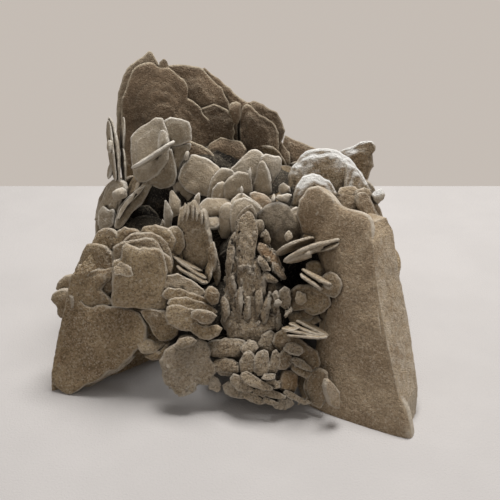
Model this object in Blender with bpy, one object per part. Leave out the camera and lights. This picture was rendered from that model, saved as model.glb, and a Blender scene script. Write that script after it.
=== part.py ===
"""Gypsum sand rose: one natural cluster of sand-filled gypsum crystals that grew into each other.

The cluster is about 220 mm wide. It rests on the feet of its two biggest crystals, a prow on the
right and a wedge on the left, and on its rear. A hollow front between them is lined with small
blades, discs crowd the middle, and a fan of large plates stands at the rear.

Every crystal overlaps its neighbours, so all of them are joined in one solid. Lengths in the tables
are millimetres. +X is right, +Y is the rear and +Z is up. z = 0 is the surface it rests on.
"""

import math
import random
from collections import defaultdict
from typing import Iterable, NamedTuple

import bmesh
import bpy
from mathutils import Matrix, Vector

MM = 0.001
NAME = "sand_rose"

# Driving dimensions
FRONT_LEAN_DEG = 27  # how far the front slope of the cluster looks up above the horizon
SHARP_RIM = ((-0.5, 0.55), (0.0, 0.0), (0.5, 0.55))  # layers of a large crystal, front to rear
PLAIN_RIM = ((-0.5, 0.4), (0.5, 0.0))  # layers of a small crystal
LARGE = 23  # a crystal shorter than this is a small one
MIDDLE_XY = (-7.0, 9.5)  # middle of the finished footprint in the tables; it becomes the origin
LUMP_REACH = 1.12  # how far a lump's corners stand past its radii, since its faces cut inside them
RAGGED = 0.06  # how far an outline wanders in and out, as a share of its radius
GRAIN_COLOUR = (0.30, 0.24, 0.17, 1.0)
ROUGHNESS = 0.92


class Blade(NamedTuple):
    """One lens-shaped crystal.

    It is laid on the front slope and then turned: slant is the direction of its length on the
    slope, 0 to the right and 90 up it. turn swings it about its length, so 0 shows its face and
    90 its edge. heading carries the slope round the cluster, 0 at the front and 180 at the rear.
    """

    x: float
    y: float
    z: float
    slant: float
    turn: float
    length: float
    width: float
    thick: float
    power: float = 2.0  # 2 is an oval, more is blunter and less is more pointed
    heading: float = 0.0


class Plate(NamedTuple):
    """One large plate: the place of its middle, the way its face looks, and its own outline."""

    x: float
    y: float
    z: float
    heading: float  # 0 looks to the front, 90 to the right
    lean: float  # degrees that the face looks up above the horizon
    thick: float
    outline: tuple  # (across, up) of each corner from the middle


class Block(NamedTuple):
    """One thick wedge-shaped crystal, as its outlines at rising heights."""

    levels: tuple  # (height, ((x, y), ...)) from the lowest to the highest


def stack(first: Blade, count: int, step: tuple, shrink: float = 1.0) -> list[Blade]:
    """Parallel crystals that overlap like cards: each is moved by step and scaled by shrink."""
    dx, dy, dz = step
    return [
        first._replace(
            x=first.x + dx * i,
            y=first.y + dy * i,
            z=first.z + dz * i,
            length=first.length * shrink**i,
            width=first.width * shrink**i,
        )
        for i in range(count)
    ]


# The two blocks that the rose stands on. Corners run from the inner front corner, counter-clockwise.
PROW = Block(
    levels=(
        (-4, ((29, -58), (86, -93), (96, -72), (99, -42), (52, -6))),
        (14, ((33, -54), (84, -85), (95, -64), (97, -40), (52, 0))),
        (44, ((37, -42), (73, -63), (92, -36), (90, -8), (52, 14))),
        (70, ((38, -29), (69, -47), (86, -23), (83, 4), (52, 20))),
        (96, ((36, -15), (65, -31), (79, -8), (76, 12), (50, 22))),
        (106, ((34, -9), (63, -24), (71, -8), (68, 10), (46, 20))),
        (113, ((30, -2), (44, -9), (52, -4), (52, 8), (40, 14))),
    )
)
WEDGE = Block(
    levels=(
        (-4, ((-117, -46), (-84, -31), (-66, -16), (-62, 10), (-98, 0))),
        (12, ((-116, -44), (-71, -23), (-50, -10), (-55, 18), (-100, 4))),
        (46, ((-108, -35), (-52, -9), (-42, 4), (-52, 24), (-98, 4))),
        (75, ((-101, -27), (-46, -3), (-40, 8), (-50, 24), (-94, 2))),
        (86, ((-95, -21), (-46, 1), (-42, 8), (-52, 18), (-88, -4))),
    )
)

REAR_FAN = (
    Plate(-62, 70, 143, 12, 12, 11, (
        (-23, -6), (-20, 9), (-12, 22), (-5, 26), (0, 30), (4, 24), (16, 15), (22, 5),
        (33, -10), (36, -24), (34, -60), (-14, -66), (-23, -28))),
    Plate(-36, 82, 144, 5, 14, 8, (
        (-21, 2), (-18, 20), (-8, 20), (8, 15), (15, 6), (26, -10), (28, -50), (-18, -56))),
    Plate(-19, 92, 135, 0, 12, 6, (
        (-17, 1), (-14, 23), (-6, 20), (2, 13), (10, 6), (16, 0), (22, -44), (-12, -50))),
    Plate(4, 78, 119, -5, 14, 9, (
        (-16, 7), (-14, 16), (-8, 18), (4, 12), (11, 5), (15, -3), (18, -20), (8, -40), (-12, -36))),
    Plate(36, 95, 99, -8, 10, 6, (
        (-14, -16), (-13, 6), (-10, 11), (-2, 8), (8, 3), (16, -4), (18, -22), (6, -34))),
)  # fmt: skip

MIDDLE_PLATES = (
    Plate(-34, -8, 89, -10, 15, 7, (
        (-9, 1), (-8, 8), (-5, 13), (-1, 17), (1, 14), (5, 11), (8, 4), (11, -7), (11, -22),
        (-2, -27), (-6, -14))),
    Plate(-63, -28, 70, 14, 18, 8, (
        (-16, 6), (-12, 10), (-8, 17), (1, 20), (9, 19), (14, 11), (18, 5), (19, -12), (13, -26),
        (-2, -25), (-17, -19), (-15, -6))),
    Plate(-36, -56, 25, 5, 22, 9, (
        (-15, 5), (-14, -6), (-10, -11), (-6, -15), (1, -14), (4, -10), (7, -12), (13, -11),
        (16, -2), (15, 10), (10, 18), (-2, 20), (-11, 16))),
)  # fmt: skip

REAR_LOBES = [
    Blade(-9, 70, 134, 60, 10, 19, 14, 6),
    Blade(12, 90, 121, -40, 10, 35, 23, 5),
    Blade(0, 72, 108, -35, 15, 29, 23, 7),
    Blade(-11, 74, 118, 80, 0, 33, 20, 6),
    Blade(-23, 66, 117, -30, -30, 34, 24, 8),
]
LEFT_EDGE_ON = [
    Blade(-85, 42, 119, 85, 66, 40, 24, 4),
    Blade(-79, 50, 124, 85, 70, 26, 20, 3),
    Blade(-78, 42, 109, 92, 72, 26, 22, 3),
    Blade(-86, 28, 88, 70, 10, 36, 26, 12),
    *stack(Blade(-71, 22, 91, 54, 45, 44, 18, 4), 2, (-5, 4, 1), 0.95),
]
LEFT_LIGHT_PLATES = [
    Blade(-61, 36, 124, 75, -8, 42, 27, 6, 3.0),
    Blade(-57, 26, 121, 33, 72, 29, 26, 4),
    Blade(-44, 40, 131, 80, -15, 22, 18, 5, 3.0),
    Blade(-42, 36, 120, 0, -10, 16, 14, 5),
    Blade(-54, 32, 107, 80, -35, 26, 20, 7),
]
CENTRE_DISCS = [
    Blade(-31, 29, 107, 0, 15, 29, 27, 7),
    Blade(-29, 25, 112, 0, 20, 18, 16, 4),
    Blade(-41, 24, 97, -15, 50, 19, 17, 5),
    Blade(-48, 9, 92, 80, 30, 18, 9, 4, 1.4),
    Blade(-46, 16, 93, 85, 60, 20, 14, 4),
    Blade(-18, 24, 105, 70, 10, 20, 16, 5),
    Blade(-10, 20, 105, 10, 20, 24, 19, 5),
    Blade(-1, 28, 114, 50, 10, 25, 18, 5, 1.5),
    Blade(12, 22, 111, 80, 0, 23, 18, 5, 2.6),
    Blade(4, 19, 110, 70, 70, 20, 16, 4),
    Blade(21, 4, 101, 0, 30, 10, 9, 6),
    Blade(7, 8, 99, 5, 20, 18, 13, 5),
    Blade(-1, 4, 98, 5, 20, 20, 15, 5),
    Blade(-3, -1, 95, 0, 15, 21, 17, 6),
    Blade(-15, 1, 92, 80, 10, 17, 13, 6),
    Blade(-21, 8, 94, 5, 35, 25, 18, 9),
    Blade(16, -8, 92, 0, 5, 29, 24, 7),
    Blade(27, -3, 93, 70, 10, 20, 17, 6),
    Blade(31, -8, 94, 80, 0, 15, 12, 6),
]
RIGHT_CAPS = [
    Blade(47, 18, 111, -8, 25, 52, 34, 11),
    Blade(38, 3, 109, 0, 25, 27, 20, 8),
    Blade(46, -8, 102, -20, 10, 42, 30, 10),
    Blade(62, 1, 100, -20, 30, 26, 20, 8),
    Blade(55, 6, 107, -5, 60, 15, 12, 4),
    *stack(Blade(68, 5, 102, -50, 50, 23, 18, 4), 3, (2, -5, -2), 0.94),
    Blade(69, 46, 108, 30, 10, 30, 24, 6),
    Blade(78, -12, 89, 80, 0, 12, 10, 9),
]
CENTRE_RIGHT = [
    Blade(26, -18, 82, 20, 72, 26, 22, 5),
    Blade(34, -26, 83, 20, 68, 34, 26, 5),
    Blade(41, -16, 85, 10, 15, 16, 14, 6),
    Blade(34, -17, 86, 10, 15, 12, 12, 6),
    Blade(37, -26, 71, 0, 15, 13, 12, 6),
    Blade(45, -37, 67, 80, 0, 17, 14, 6),
    Blade(36, -35, 69, -28, 66, 21, 18, 5),
    Blade(33, -37, 66, -10, 50, 17, 14, 5),
    Blade(33, -36, 57, -20, 15, 26, 20, 10),
    Blade(12, -21, 78, -44, 58, 20, 14, 5),
    Blade(20, -28, 70, -60, 58, 12, 10, 5),
    Blade(9, -24, 75, -50, 52, 13, 11, 5),
    Blade(1, -14, 86, 75, 10, 22, 13, 8, 2.6),
    Blade(-3, -9, 91, 80, 5, 27, 13, 8, 2.6),
    Blade(22, -16, 87, 80, 20, 10, 7, 5, 1.5),
    *stack(Blade(29, -46, 47, 3, 62, 32, 22, 4), 3, (-1, -2, -2), 0.92),
    Blade(29, -52, 31, -30, 0, 30, 26, 12),
    Blade(37, -62, 16, 80, 20, 24, 15, 7),
    Blade(47, -70, 20, 80, 10, 20, 11, 6),
]
CENTRE_COLUMN = [
    Blade(-4, -16, 78, 88, 10, 48, 18, 18, 2.6),
    Blade(-9, -18, 66, 92, 15, 44, 14, 16, 2.6),
    Blade(2, -24, 60, 86, 10, 46, 20, 18, 2.6),
    Blade(11, -32, 54, 80, 10, 40, 23, 18, 2.6),
    Blade(-11, -34, 50, 100, 10, 30, 22, 16, 2.6),
    Blade(0, -42, 44, 0, 10, 36, 27, 18, 2.6),
    Blade(-22, -12, 75, 88, 30, 16, 9, 6),
    *stack(Blade(-35, -19, 70, -35, 55, 25, 14, 4), 3, (-1, -4, -1), 0.95),
]
WEDGE_CREST = [
    Blade(-92, -16, 84, 40, 30, 20, 16, 7),
    Blade(-83, -10, 88, 0, 35, 20, 16, 7),
    Blade(-72, -6, 88, -10, 30, 22, 18, 7),
    Blade(-60, 0, 86, 0, 30, 22, 18, 7),
    Blade(-48, 4, 86, 0, 35, 20, 16, 7),
    Blade(-94, -20, 71, 0, -20, 26, 22, 7),
]
LEFT_RIBS = [
    Blade(-52, -34, 38, -20, -5, 26, 21, 8),
    *stack(Blade(-37, -27, 65, -15, 58, 29, 20, 4), 4, (1, -3, -4), 0.95),
    Blade(-27, -38, 47, -10, 30, 18, 13, 7),
    Blade(-21, -34, 61, 20, 20, 11, 10, 7),
    Blade(-108, -20, 61, 60, 20, 15, 12, 7),
    Blade(-110, -30, 50, 80, 10, 18, 14, 7),
    Blade(-59, -35, 31, 60, 20, 21, 17, 8),
    Blade(-55, -36, 21, 0, 58, 16, 14, 4),
]
FRONT_CLUSTER = [
    Blade(-36, -51, 43, 0, 50, 13, 12, 5),
    Blade(-20, -58, 18, 70, 30, 15, 11, 5),
    Blade(-3, -58, 14, -20, 25, 30, 22, 9),
    *stack(Blade(-4, -62, 22, -35, 52, 20, 15, 4), 3, (6, -3, 0)),
    Blade(4, -63, 9, -12, 45, 19, 14, 5),
    Blade(18, -66, 11, -10, 20, 15, 12, 7),
    Blade(24, -60, 20, 60, 20, 17, 11, 7),
    Blade(-2, -50, 36, 20, 10, 14, 13, 12),
    Blade(-12, -46, 33, 0, 10, 18, 14, 12),
    Blade(-12, -54, 27, -10, 40, 18, 13, 7),
    *stack(Blade(1, -57, 30, 86, 52, 15, 12, 4), 4, (5, 0, 0)),
]

# Large plates on the sides and the rear, then rings of smaller crystals between them.
REAR_PLATES = [
    Blade(-46, 88, 66, 0, -14, 62, 86, 11, 2.4, 172),
    Blade(2, 96, 50, 0, -10, 60, 72, 10, 2.4, 186),
    Blade(44, 84, 50, 10, -8, 54, 70, 10, 2.4, 160),
    Blade(74, 52, 52, 0, -12, 48, 76, 10, 2.4, 128),
    Blade(-84, 58, 58, 0, -16, 48, 84, 10, 2.4, 222),
    Blade(-94, 18, 40, -10, -18, 46, 60, 9, 2.4, 262),
    Blade(-8, 52, 106, 20, 15, 40, 32, 8),
    Blade(28, 52, 98, -20, 20, 42, 34, 9),
    Blade(48, 42, 100, 30, 25, 34, 28, 7),
    Blade(20, 36, 102, 0, 30, 36, 28, 8),
]
REAR_MIDDLE = (-4, 36)
REAR_RADII = (84, 60)
REAR_ARC = (72, 288)  # headings that the rings run between
REAR_RINGS = (  # how many, height, reach as a share of the radii, size
    (8, 15, 0.98, 38),
    (7, 40, 1.06, 42),
    (6, 66, 1.0, 40),
    (5, 88, 0.84, 34),
)

# Hidden lumps of packed sand and crystal that the blades grow from: middle, then radii.
LUMPS = (
    ((-2, 8, 46), (62, 40, 44)),
    ((-34, 56, 56), (40, 26, 58)),
    ((10, 54, 46), (44, 34, 52)),
    ((48, 20, 52), (34, 34, 46)),
    ((-62, 20, 42), (30, 28, 42)),
    ((-2, -22, 36), (34, 26, 34)),
    ((-20, 22, 76), (34, 20, 26)),
    ((34, 8, 82), (30, 20, 22)),
)


def ring(rng: random.Random, count: int, height: float, reach: float, size: float) -> list[Blade]:
    """One ring of crystals round the sides and the rear, each swung a little out of line."""
    first, last = REAR_ARC
    blades = []
    for i in range(count):
        heading = first + (last - first) * (i + 0.5) / count
        turn_to = math.radians(heading)
        length = size * rng.uniform(0.85, 1.2)
        blades.append(
            Blade(
                x=REAR_MIDDLE[0] + REAR_RADII[0] * reach * math.sin(turn_to),
                y=REAR_MIDDLE[1] - REAR_RADII[1] * reach * math.cos(turn_to),
                z=height + rng.uniform(-5, 5),
                slant=rng.choice((0, 30, 60, 90, 120, 150)),
                turn=rng.uniform(-50, 40),
                length=length,
                width=length * rng.uniform(0.75, 0.95),
                thick=rng.uniform(6, 9),
                heading=heading + rng.uniform(-35, 35),
            )
        )
    return blades


def oval(length: float, width: float, power: float, sides: int, rng: random.Random) -> list:
    """The slightly ragged outline of a crystal as (along, across) points."""
    points = []
    phase = rng.random()
    for i in range(sides):
        angle = math.tau * (i + phase) / sides
        c, s = math.cos(angle), math.sin(angle)
        reach = (abs(c) ** power + abs(s) ** power) ** (-1 / power) * (1 + rng.uniform(-RAGGED, RAGGED))
        points.append((length / 2 * c * reach, width / 2 * s * reach))
    return points


def add_slab(
    bm: bmesh.types.BMesh, outline: Iterable, thick: float, place: Matrix, layers: tuple = SHARP_RIM
) -> None:
    """Add a closed slab with flat faces. Each layer is an offset and an inset, in thicknesses."""
    points = [Vector(p) for p in outline]
    middle = sum(points, Vector((0, 0))) / len(points)
    rings = []
    for offset, share in layers:
        ring = []
        for p in points:
            out = p - middle
            inset = min(share * thick, 0.45 * out.length)
            q = middle + out * (1 - inset / out.length)
            ring.append(bm.verts.new(place @ Vector((q.x, offset * thick, q.y))))
        rings.append(ring)
    n = len(points)
    for lower, upper in zip(rings, rings[1:]):
        for i in range(n):
            j = (i + 1) % n
            bm.faces.new((lower[i], lower[j], upper[j], upper[i]))
    bm.faces.new(rings[0][::-1])
    bm.faces.new(rings[-1])


def add_blade(bm: bmesh.types.BMesh, blade: Blade, rng: random.Random) -> None:
    """Add one lens-shaped crystal, with more sides on a longer one."""
    sides = 6 if blade.length < LARGE else 7 if blade.length < 2 * LARGE else 9
    layers = PLAIN_RIM if blade.length < LARGE else SHARP_RIM
    place = (
        Matrix.Translation(Vector((blade.x, blade.y, blade.z)))
        @ Matrix.Rotation(math.radians(blade.heading), 4, "Z")
        @ Matrix.Rotation(math.radians(-FRONT_LEAN_DEG), 4, "X")
        @ Matrix.Rotation(math.radians(-blade.slant), 4, "Y")
        @ Matrix.Rotation(math.radians(-blade.turn), 4, "X")
    )
    outline = oval(blade.length, blade.width, blade.power, sides, rng)
    add_slab(bm, outline, blade.thick, place, layers)


def add_plate(bm: bmesh.types.BMesh, plate: Plate) -> None:
    """Add one large plate."""
    place = (
        Matrix.Translation(Vector((plate.x, plate.y, plate.z)))
        @ Matrix.Rotation(math.radians(plate.heading), 4, "Z")
        @ Matrix.Rotation(math.radians(-plate.lean), 4, "X")
    )
    add_slab(bm, reversed(plate.outline), plate.thick, place)


def add_block(bm: bmesh.types.BMesh, block: Block) -> None:
    """Add one thick crystal, skinned between its outlines."""
    rings = [[bm.verts.new((x, y, z)) for x, y in outline] for z, outline in block.levels]
    for lower, upper in zip(rings, rings[1:]):
        n = len(lower)
        for i in range(n):
            j = (i + 1) % n
            bm.faces.new((lower[i], lower[j], upper[j], upper[i]))
    bm.faces.new(rings[0][::-1])
    bm.faces.new(rings[-1])


def add_lump(bm: bmesh.types.BMesh, middle: tuple, radii: tuple) -> None:
    """Add one rounded lump of the packed core."""
    place = Matrix.Translation(Vector(middle)) @ Matrix.Diagonal((*radii, 1.0))
    bmesh.ops.create_icosphere(bm, subdivisions=1, radius=LUMP_REACH, matrix=place)


def mesh_object(name: str, bm: bmesh.types.BMesh) -> bpy.types.Object:
    """Turn a bmesh in millimetres into an object in metres, with its faces outward."""
    bmesh.ops.recalc_face_normals(bm, faces=bm.faces)
    bmesh.ops.scale(bm, vec=(MM, MM, MM), verts=bm.verts)
    mesh = bpy.data.meshes.new(name)
    bm.to_mesh(mesh)
    bm.free()
    obj = bpy.data.objects.new(name, mesh)
    bpy.context.scene.collection.objects.link(obj)
    return obj


def crystals() -> bpy.types.Object:
    """Every crystal of the rose as overlapping closed shells in one mesh."""
    rng = random.Random(7)
    bm = bmesh.new()
    for block in (PROW, WEDGE):
        add_block(bm, block)
    for plate in (*REAR_FAN, *MIDDLE_PLATES):
        add_plate(bm, plate)
    groups = (
        REAR_LOBES,
        LEFT_EDGE_ON,
        LEFT_LIGHT_PLATES,
        CENTRE_DISCS,
        RIGHT_CAPS,
        CENTRE_RIGHT,
        CENTRE_COLUMN,
        WEDGE_CREST,
        LEFT_RIBS,
        FRONT_CLUSTER,
        REAR_PLATES,
        *(ring(rng, *row) for row in REAR_RINGS),
    )
    for group in groups:
        for blade in group:
            add_blade(bm, blade, rng)
    return mesh_object("crystals", bm)


def core() -> bpy.types.Object:
    """The packed lumps behind the crystals as overlapping closed shells in one mesh."""
    bm = bmesh.new()
    for middle, radii in LUMPS:
        add_lump(bm, middle, radii)
    return mesh_object("core", bm)


def ground() -> bpy.types.Object:
    """A block that takes away everything below the surface that the rose rests on."""
    bm = bmesh.new()
    size, depth = 400, 120
    place = Matrix.Translation(Vector((0, 0, -depth / 2))) @ Matrix.Diagonal((size, size, depth, 1.0))
    bmesh.ops.create_cube(bm, size=1.0, matrix=place)
    return mesh_object("ground", bm)


def combine(target: bpy.types.Object, other: bpy.types.Object, operation: str) -> None:
    """Run one exact Boolean on target, keep its result as target's mesh and drop other."""
    modifier = target.modifiers.new(other.name, "BOOLEAN")
    modifier.object = other
    modifier.operation = operation
    modifier.solver = "EXACT"
    modifier.use_self = True
    depsgraph = bpy.context.evaluated_depsgraph_get()
    joined = bpy.data.meshes.new_from_object(target.evaluated_get(depsgraph))
    target.modifiers.clear()
    target.data = joined
    bpy.data.objects.remove(other)


def shells_of(bm: bmesh.types.BMesh) -> list[list]:
    """The corners of each separate closed surface, from the smallest surface to the largest."""
    shells, seen = [], set()
    for start in bm.verts:
        if start in seen:
            continue
        seen.add(start)
        shell, todo = [], [start]
        while todo:
            vert = todo.pop()
            shell.append(vert)
            for edge in vert.link_edges:
                other = edge.other_vert(vert)
                if other not in seen:
                    seen.add(other)
                    todo.append(other)
        shells.append(shell)
    return sorted(shells, key=len)


def keep_outer_shell(obj: bpy.types.Object) -> None:
    """Keep the one outer surface: no sealed pockets, nothing loose and no flaps with no thickness."""
    bm = bmesh.new()
    bm.from_mesh(obj.data)
    for shell in shells_of(bm)[:-1]:
        bmesh.ops.delete(bm, geom=shell, context="VERTS")
    bmesh.ops.triangulate(bm, faces=bm.faces)
    by_corners = defaultdict(list)
    for face in bm.faces:
        by_corners[frozenset(face.verts)].append(face)
    flaps = [face for faces in by_corners.values() if len(faces) > 1 for face in faces]
    bmesh.ops.delete(bm, geom=flaps, context="FACES")
    bm.to_mesh(obj.data)
    bm.free()


def finish_material() -> bpy.types.Material:
    """Sandy brown gypsum, dull all over."""
    material = bpy.data.materials.new("sandy_gypsum")
    material.use_nodes = True
    shader = material.node_tree.nodes["Principled BSDF"]
    shader.inputs["Base Color"].default_value = GRAIN_COLOUR
    shader.inputs["Roughness"].default_value = ROUGHNESS
    shader.inputs["Metallic"].default_value = 0.0
    return material


def main() -> None:
    """Build the rose as one solid."""
    for obj in list(bpy.data.objects):
        bpy.data.objects.remove(obj)
    rose = crystals()
    combine(rose, core(), "UNION")
    combine(rose, ground(), "DIFFERENCE")
    keep_outer_shell(rose)
    rose.data.transform(Matrix.Translation((-MIDDLE_XY[0] * MM, -MIDDLE_XY[1] * MM, 0)))
    rose.name = NAME
    rose.data.name = NAME
    rose.data.materials.clear()
    rose.data.materials.append(finish_material())


if __name__ == "__main__":
    main()
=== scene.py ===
"""Dress the gypsum sand rose: every crystal as a grown, sand-grained leaf, on a plain pale floor.

The rose is one cluster of sand-filled gypsum crystals. Each part of it is a cluster class, which grows
its own crystals as closed shells, fuses them into one skin, weathers that skin, paints shade into its
hollows and folds, and gives it its finish.

Tables are in millimetres in the layout's frame: +X right, +Y rear, +Z up, and z = 0 is what the rose
rests on. The finished pieces are moved so that the middle of the footprint is the origin.
"""

from __future__ import annotations

import logging
import math
import random
from dataclasses import dataclass, replace
from enum import Enum
from functools import lru_cache
from typing import Any, Sequence

import bmesh
import bpy
import numpy as np
from mathutils import Matrix, Vector
from mathutils.bvhtree import BVHTree

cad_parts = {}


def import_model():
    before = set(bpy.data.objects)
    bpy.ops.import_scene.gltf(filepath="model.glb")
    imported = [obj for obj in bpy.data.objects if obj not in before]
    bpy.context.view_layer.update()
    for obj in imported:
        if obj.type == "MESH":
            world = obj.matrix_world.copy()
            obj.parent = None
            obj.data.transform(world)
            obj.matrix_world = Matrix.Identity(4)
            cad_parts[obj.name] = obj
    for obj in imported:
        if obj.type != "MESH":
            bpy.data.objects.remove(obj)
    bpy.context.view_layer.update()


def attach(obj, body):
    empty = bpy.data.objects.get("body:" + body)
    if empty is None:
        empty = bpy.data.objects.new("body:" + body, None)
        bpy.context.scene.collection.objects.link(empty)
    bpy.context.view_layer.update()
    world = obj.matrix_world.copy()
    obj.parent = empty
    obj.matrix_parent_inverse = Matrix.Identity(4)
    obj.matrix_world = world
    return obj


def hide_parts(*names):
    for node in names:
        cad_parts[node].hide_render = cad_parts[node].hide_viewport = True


LOG = logging.getLogger("sand_rose")

MM = 0.001
NODE = "sand_rose"
BODY = "root"

FRONT_LEAN_DEG = 27.0  # how far the front slope of the cluster looks up above the horizon
MIDDLE_XY = (-7.0, 9.5)  # middle of the finished footprint in the tables; it becomes the origin
CELL = 1.0  # edge of a mesh cell on a large crystal
SMALL_CELL = 0.75  # and on a small one
LARGE_CELL = 1.5  # and on a leaf longer than LARGE
SMALL = 16.0  # a crystal shorter than this is a small one
LARGE = 45.0
GRID_SHARE = 0.9  # cells across a crystal's grid, as a share of its width in cells
CROWD = 1.4  # how strongly a crystal's cells crowd towards its rim
RIM = 1.15  # width of the pale band along a crystal's rim
LAYER_MARK = 0.2  # how pale the edge of an inner layer is, as a share of the rim
RIM_POWER = 30  # how late a face falls off to its rim
LAYER_POWER = 24  # and a growth layer to its edge
SMOOTHING = 5  # passes that smooth the skin, to tell what stands out of it
WORN = (0.10, 0.42)  # millimetres out of it at which wear begins, and over which it grows
CREASE = (0.05, 0.4)  # and the same for what lies below it, a fold that is darkened as painted shade
CREASE_DEG = 48.0  # a fold sharper than this is shaded as a crease
HASH_AXES = (73856093, 19349663, 83492791)
HASH_SEED = 26544357
HASH_STIR = 1274126177

Colour = tuple[float, float, float]
Point = tuple[float, float, float]
Corners = tuple[tuple[float, float], ...]
Faces = list[tuple[int, ...]]
Socket = bpy.types.NodeSocket

MARKS = ("tone", "pale", "rust", "soil_and_shade", "rim")  # what the shells keep at each point
PLAIN = {"tone": 0.5, "pale": 0.0, "rust": 0.0, "soil_and_shade": 0.0, "rim": 0.0}


# --------------------------------------
# Noise
# --------------------------------------


def lattice_noise(points: np.ndarray, size: float, seed: int) -> np.ndarray:
    """Smooth noise in space.

    Args:
        points: places as an (n, 3) array.
        size: distance between the lattice points that carry random values.
        seed: which noise.

    Returns:
        One value from -1 to 1 for each point.
    """
    q = points / size
    base = np.floor(q).astype(np.int64)
    f = q - base
    f = f * f * (3 - 2 * f)
    total = np.zeros(len(points))
    for corner in range(8):
        step = np.array([corner & 1, corner >> 1 & 1, corner >> 2 & 1])
        i = base + step
        h = np.bitwise_xor.reduce(i * HASH_AXES, axis=1) ^ (seed * HASH_SEED)
        h = ((h ^ (h >> 13)) * HASH_STIR) & 0x7FFFFFFF
        h = (h ^ (h >> 15)) & 0xFFFF
        weight = np.prod(np.where(step == 1, f, 1 - f), axis=1)
        total += weight * (h / 32767.5 - 1)
    return total


def layered_noise(points: np.ndarray, size: float, seed: int, octaves: int = 3) -> np.ndarray:
    """Noise with finer noise on top, each octave half the size and half as strong.

    Args:
        points: places as an (n, 3) array.
        size: lattice size of the first octave.
        seed: which noise.
        octaves: how many layers.

    Returns:
        One value for each point, mostly from -1 to 1.
    """
    total, strength, norm = np.zeros(len(points)), 1.0, 0.0
    for octave in range(octaves):
        total += strength * lattice_noise(points, size / 2**octave, seed + 17 * octave)
        norm += strength
        strength *= 0.5
    return total / norm


# --------------------------------------
# What a crystal is
# --------------------------------------


class Outline(Enum):
    """How a crystal's outline is drawn out, as the power of its superellipse."""

    OVAL = 2.0
    BLUNT = 2.7
    POINTED = 1.45


class Habit(Enum):
    """How thickness falls off to the rim: the rim's share of it, and how far out the faces stay flat."""

    SLAB = (0.85, 5.0)
    PLATE = (0.62, 3.0)
    LENS = (0.36, 2.1)
    KNIFE = (0.2, 1.7)


@dataclass(frozen=True)
class Leaf:
    """One lens-shaped crystal, laid on the front slope and then turned.

    slant is the direction of its length on the slope, 0 to the right and 90 up it. turn swings it
    about its length: 0 shows its face and 90 its edge. heading carries the slope round the cluster.
    """

    x: float
    y: float
    z: float
    slant: float
    turn: float
    length: float
    width: float
    thick: float
    outline: Outline = Outline.OVAL
    heading: float = 0.0
    habit: Habit = Habit.LENS
    steps: int = 2  # growth layers on each face
    ragged: float = 0.04  # how far the outline wanders, as a share of its radius
    pale: float = 0.0  # how much whiter than its neighbours
    rust: float = 0.0  # how much rustier
    soil_and_shade: float = 0.0  # how much darker: packed earth on some crystals, painted shade on those deep in the gaps

    def placement(self) -> Matrix:
        """Lay the crystal in the cluster.

        Returns:
            The matrix from its own frame to the layout's.
        """
        return (
            Matrix.Translation((self.x, self.y, self.z))
            @ Matrix.Rotation(math.radians(self.heading), 4, "Z")
            @ Matrix.Rotation(math.radians(-FRONT_LEAN_DEG), 4, "X")
            @ Matrix.Rotation(math.radians(-self.slant), 4, "Y")
            @ Matrix.Rotation(math.radians(-self.turn), 4, "X")
        )


@dataclass(frozen=True)
class Plate:
    """One large plate: the place of its middle, the way its face looks, and its outline."""

    x: float
    y: float
    z: float
    heading: float  # 0 looks to the front, 90 to the right
    lean: float  # degrees that the face looks up above the horizon
    thick: float
    corners: Corners  # (across, up) from the middle
    habit: Habit = Habit.PLATE
    steps: int = 2
    ragged: float = 0.02
    pale: float = 0.0
    rust: float = 0.0
    soil_and_shade: float = 0.0

    def placement(self) -> Matrix:
        """Stand the plate in the cluster.

        Returns:
            The matrix from its own frame to the layout's.
        """
        return (
            Matrix.Translation((self.x, self.y, self.z))
            @ Matrix.Rotation(math.radians(self.heading), 4, "Z")
            @ Matrix.Rotation(math.radians(-self.lean), 4, "X")
        )


@dataclass(frozen=True)
class Block:
    """One thick crystal, as its outlines at rising heights."""

    levels: tuple[tuple[float, Corners], ...]


@dataclass(frozen=True)
class Lump:
    """A rounded lump of packed sand and crystal."""

    middle: Point
    radii: Point


# --------------------------------------
# How a crystal grows into a closed shell
# --------------------------------------


@dataclass
class Shell:
    """A closed surface: its points, its faces, and its marks, each one number or one per point."""

    points: np.ndarray
    faces: Faces
    marks: dict[str, float | np.ndarray]


@lru_cache(maxsize=None)
def disc_grid(cells: int) -> tuple[np.ndarray, np.ndarray, np.ndarray, Faces]:
    """A square grid squeezed into a disc, twice, with the two sheets joined along the rim.

    Args:
        cells: grid cells along one side.

    Returns:
        The two disc coordinates and the side (-1 front, 1 rear, 0 rim) of each point, and the faces.
    """
    g = np.linspace(-1, 1, cells + 1)
    gx, gy = np.meshgrid(g, g, indexing="ij")
    u, v = gx * np.sqrt(1 - gy**2 / 2), gy * np.sqrt(1 - gx**2 / 2)
    r = np.clip(np.hypot(u, v), 1e-9, 1)
    crowd = (1 - (1 - r) ** CROWD) / r
    u, v = u * crowd, v * crowd
    front = np.arange((cells + 1) ** 2).reshape(cells + 1, cells + 1)
    inner = np.zeros_like(front, dtype=bool)
    inner[1:-1, 1:-1] = True
    rear = front.copy()
    rear[inner] = np.arange(inner.sum()) + (cells + 1) ** 2
    side = np.where(inner, -1, 0).ravel()
    quads_front = np.stack([front[:-1, :-1], front[1:, :-1], front[1:, 1:], front[:-1, 1:]], -1)
    quads_rear = np.stack([rear[:-1, :-1], rear[:-1, 1:], rear[1:, 1:], rear[1:, :-1]], -1)
    faces = np.concatenate([quads_front.reshape(-1, 4), quads_rear.reshape(-1, 4)]).tolist()
    return (
        np.concatenate([u.ravel(), u[inner]]),
        np.concatenate([v.ravel(), v[inner]]),
        np.concatenate([side, np.ones(int(inner.sum()), dtype=int)]),
        faces,
    )


def superellipse(angle: np.ndarray, power: float) -> np.ndarray:
    """Reach of a superellipse of radius 1 in each direction."""
    return (np.abs(np.cos(angle)) ** power + np.abs(np.sin(angle)) ** power) ** (-1 / power)


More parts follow.
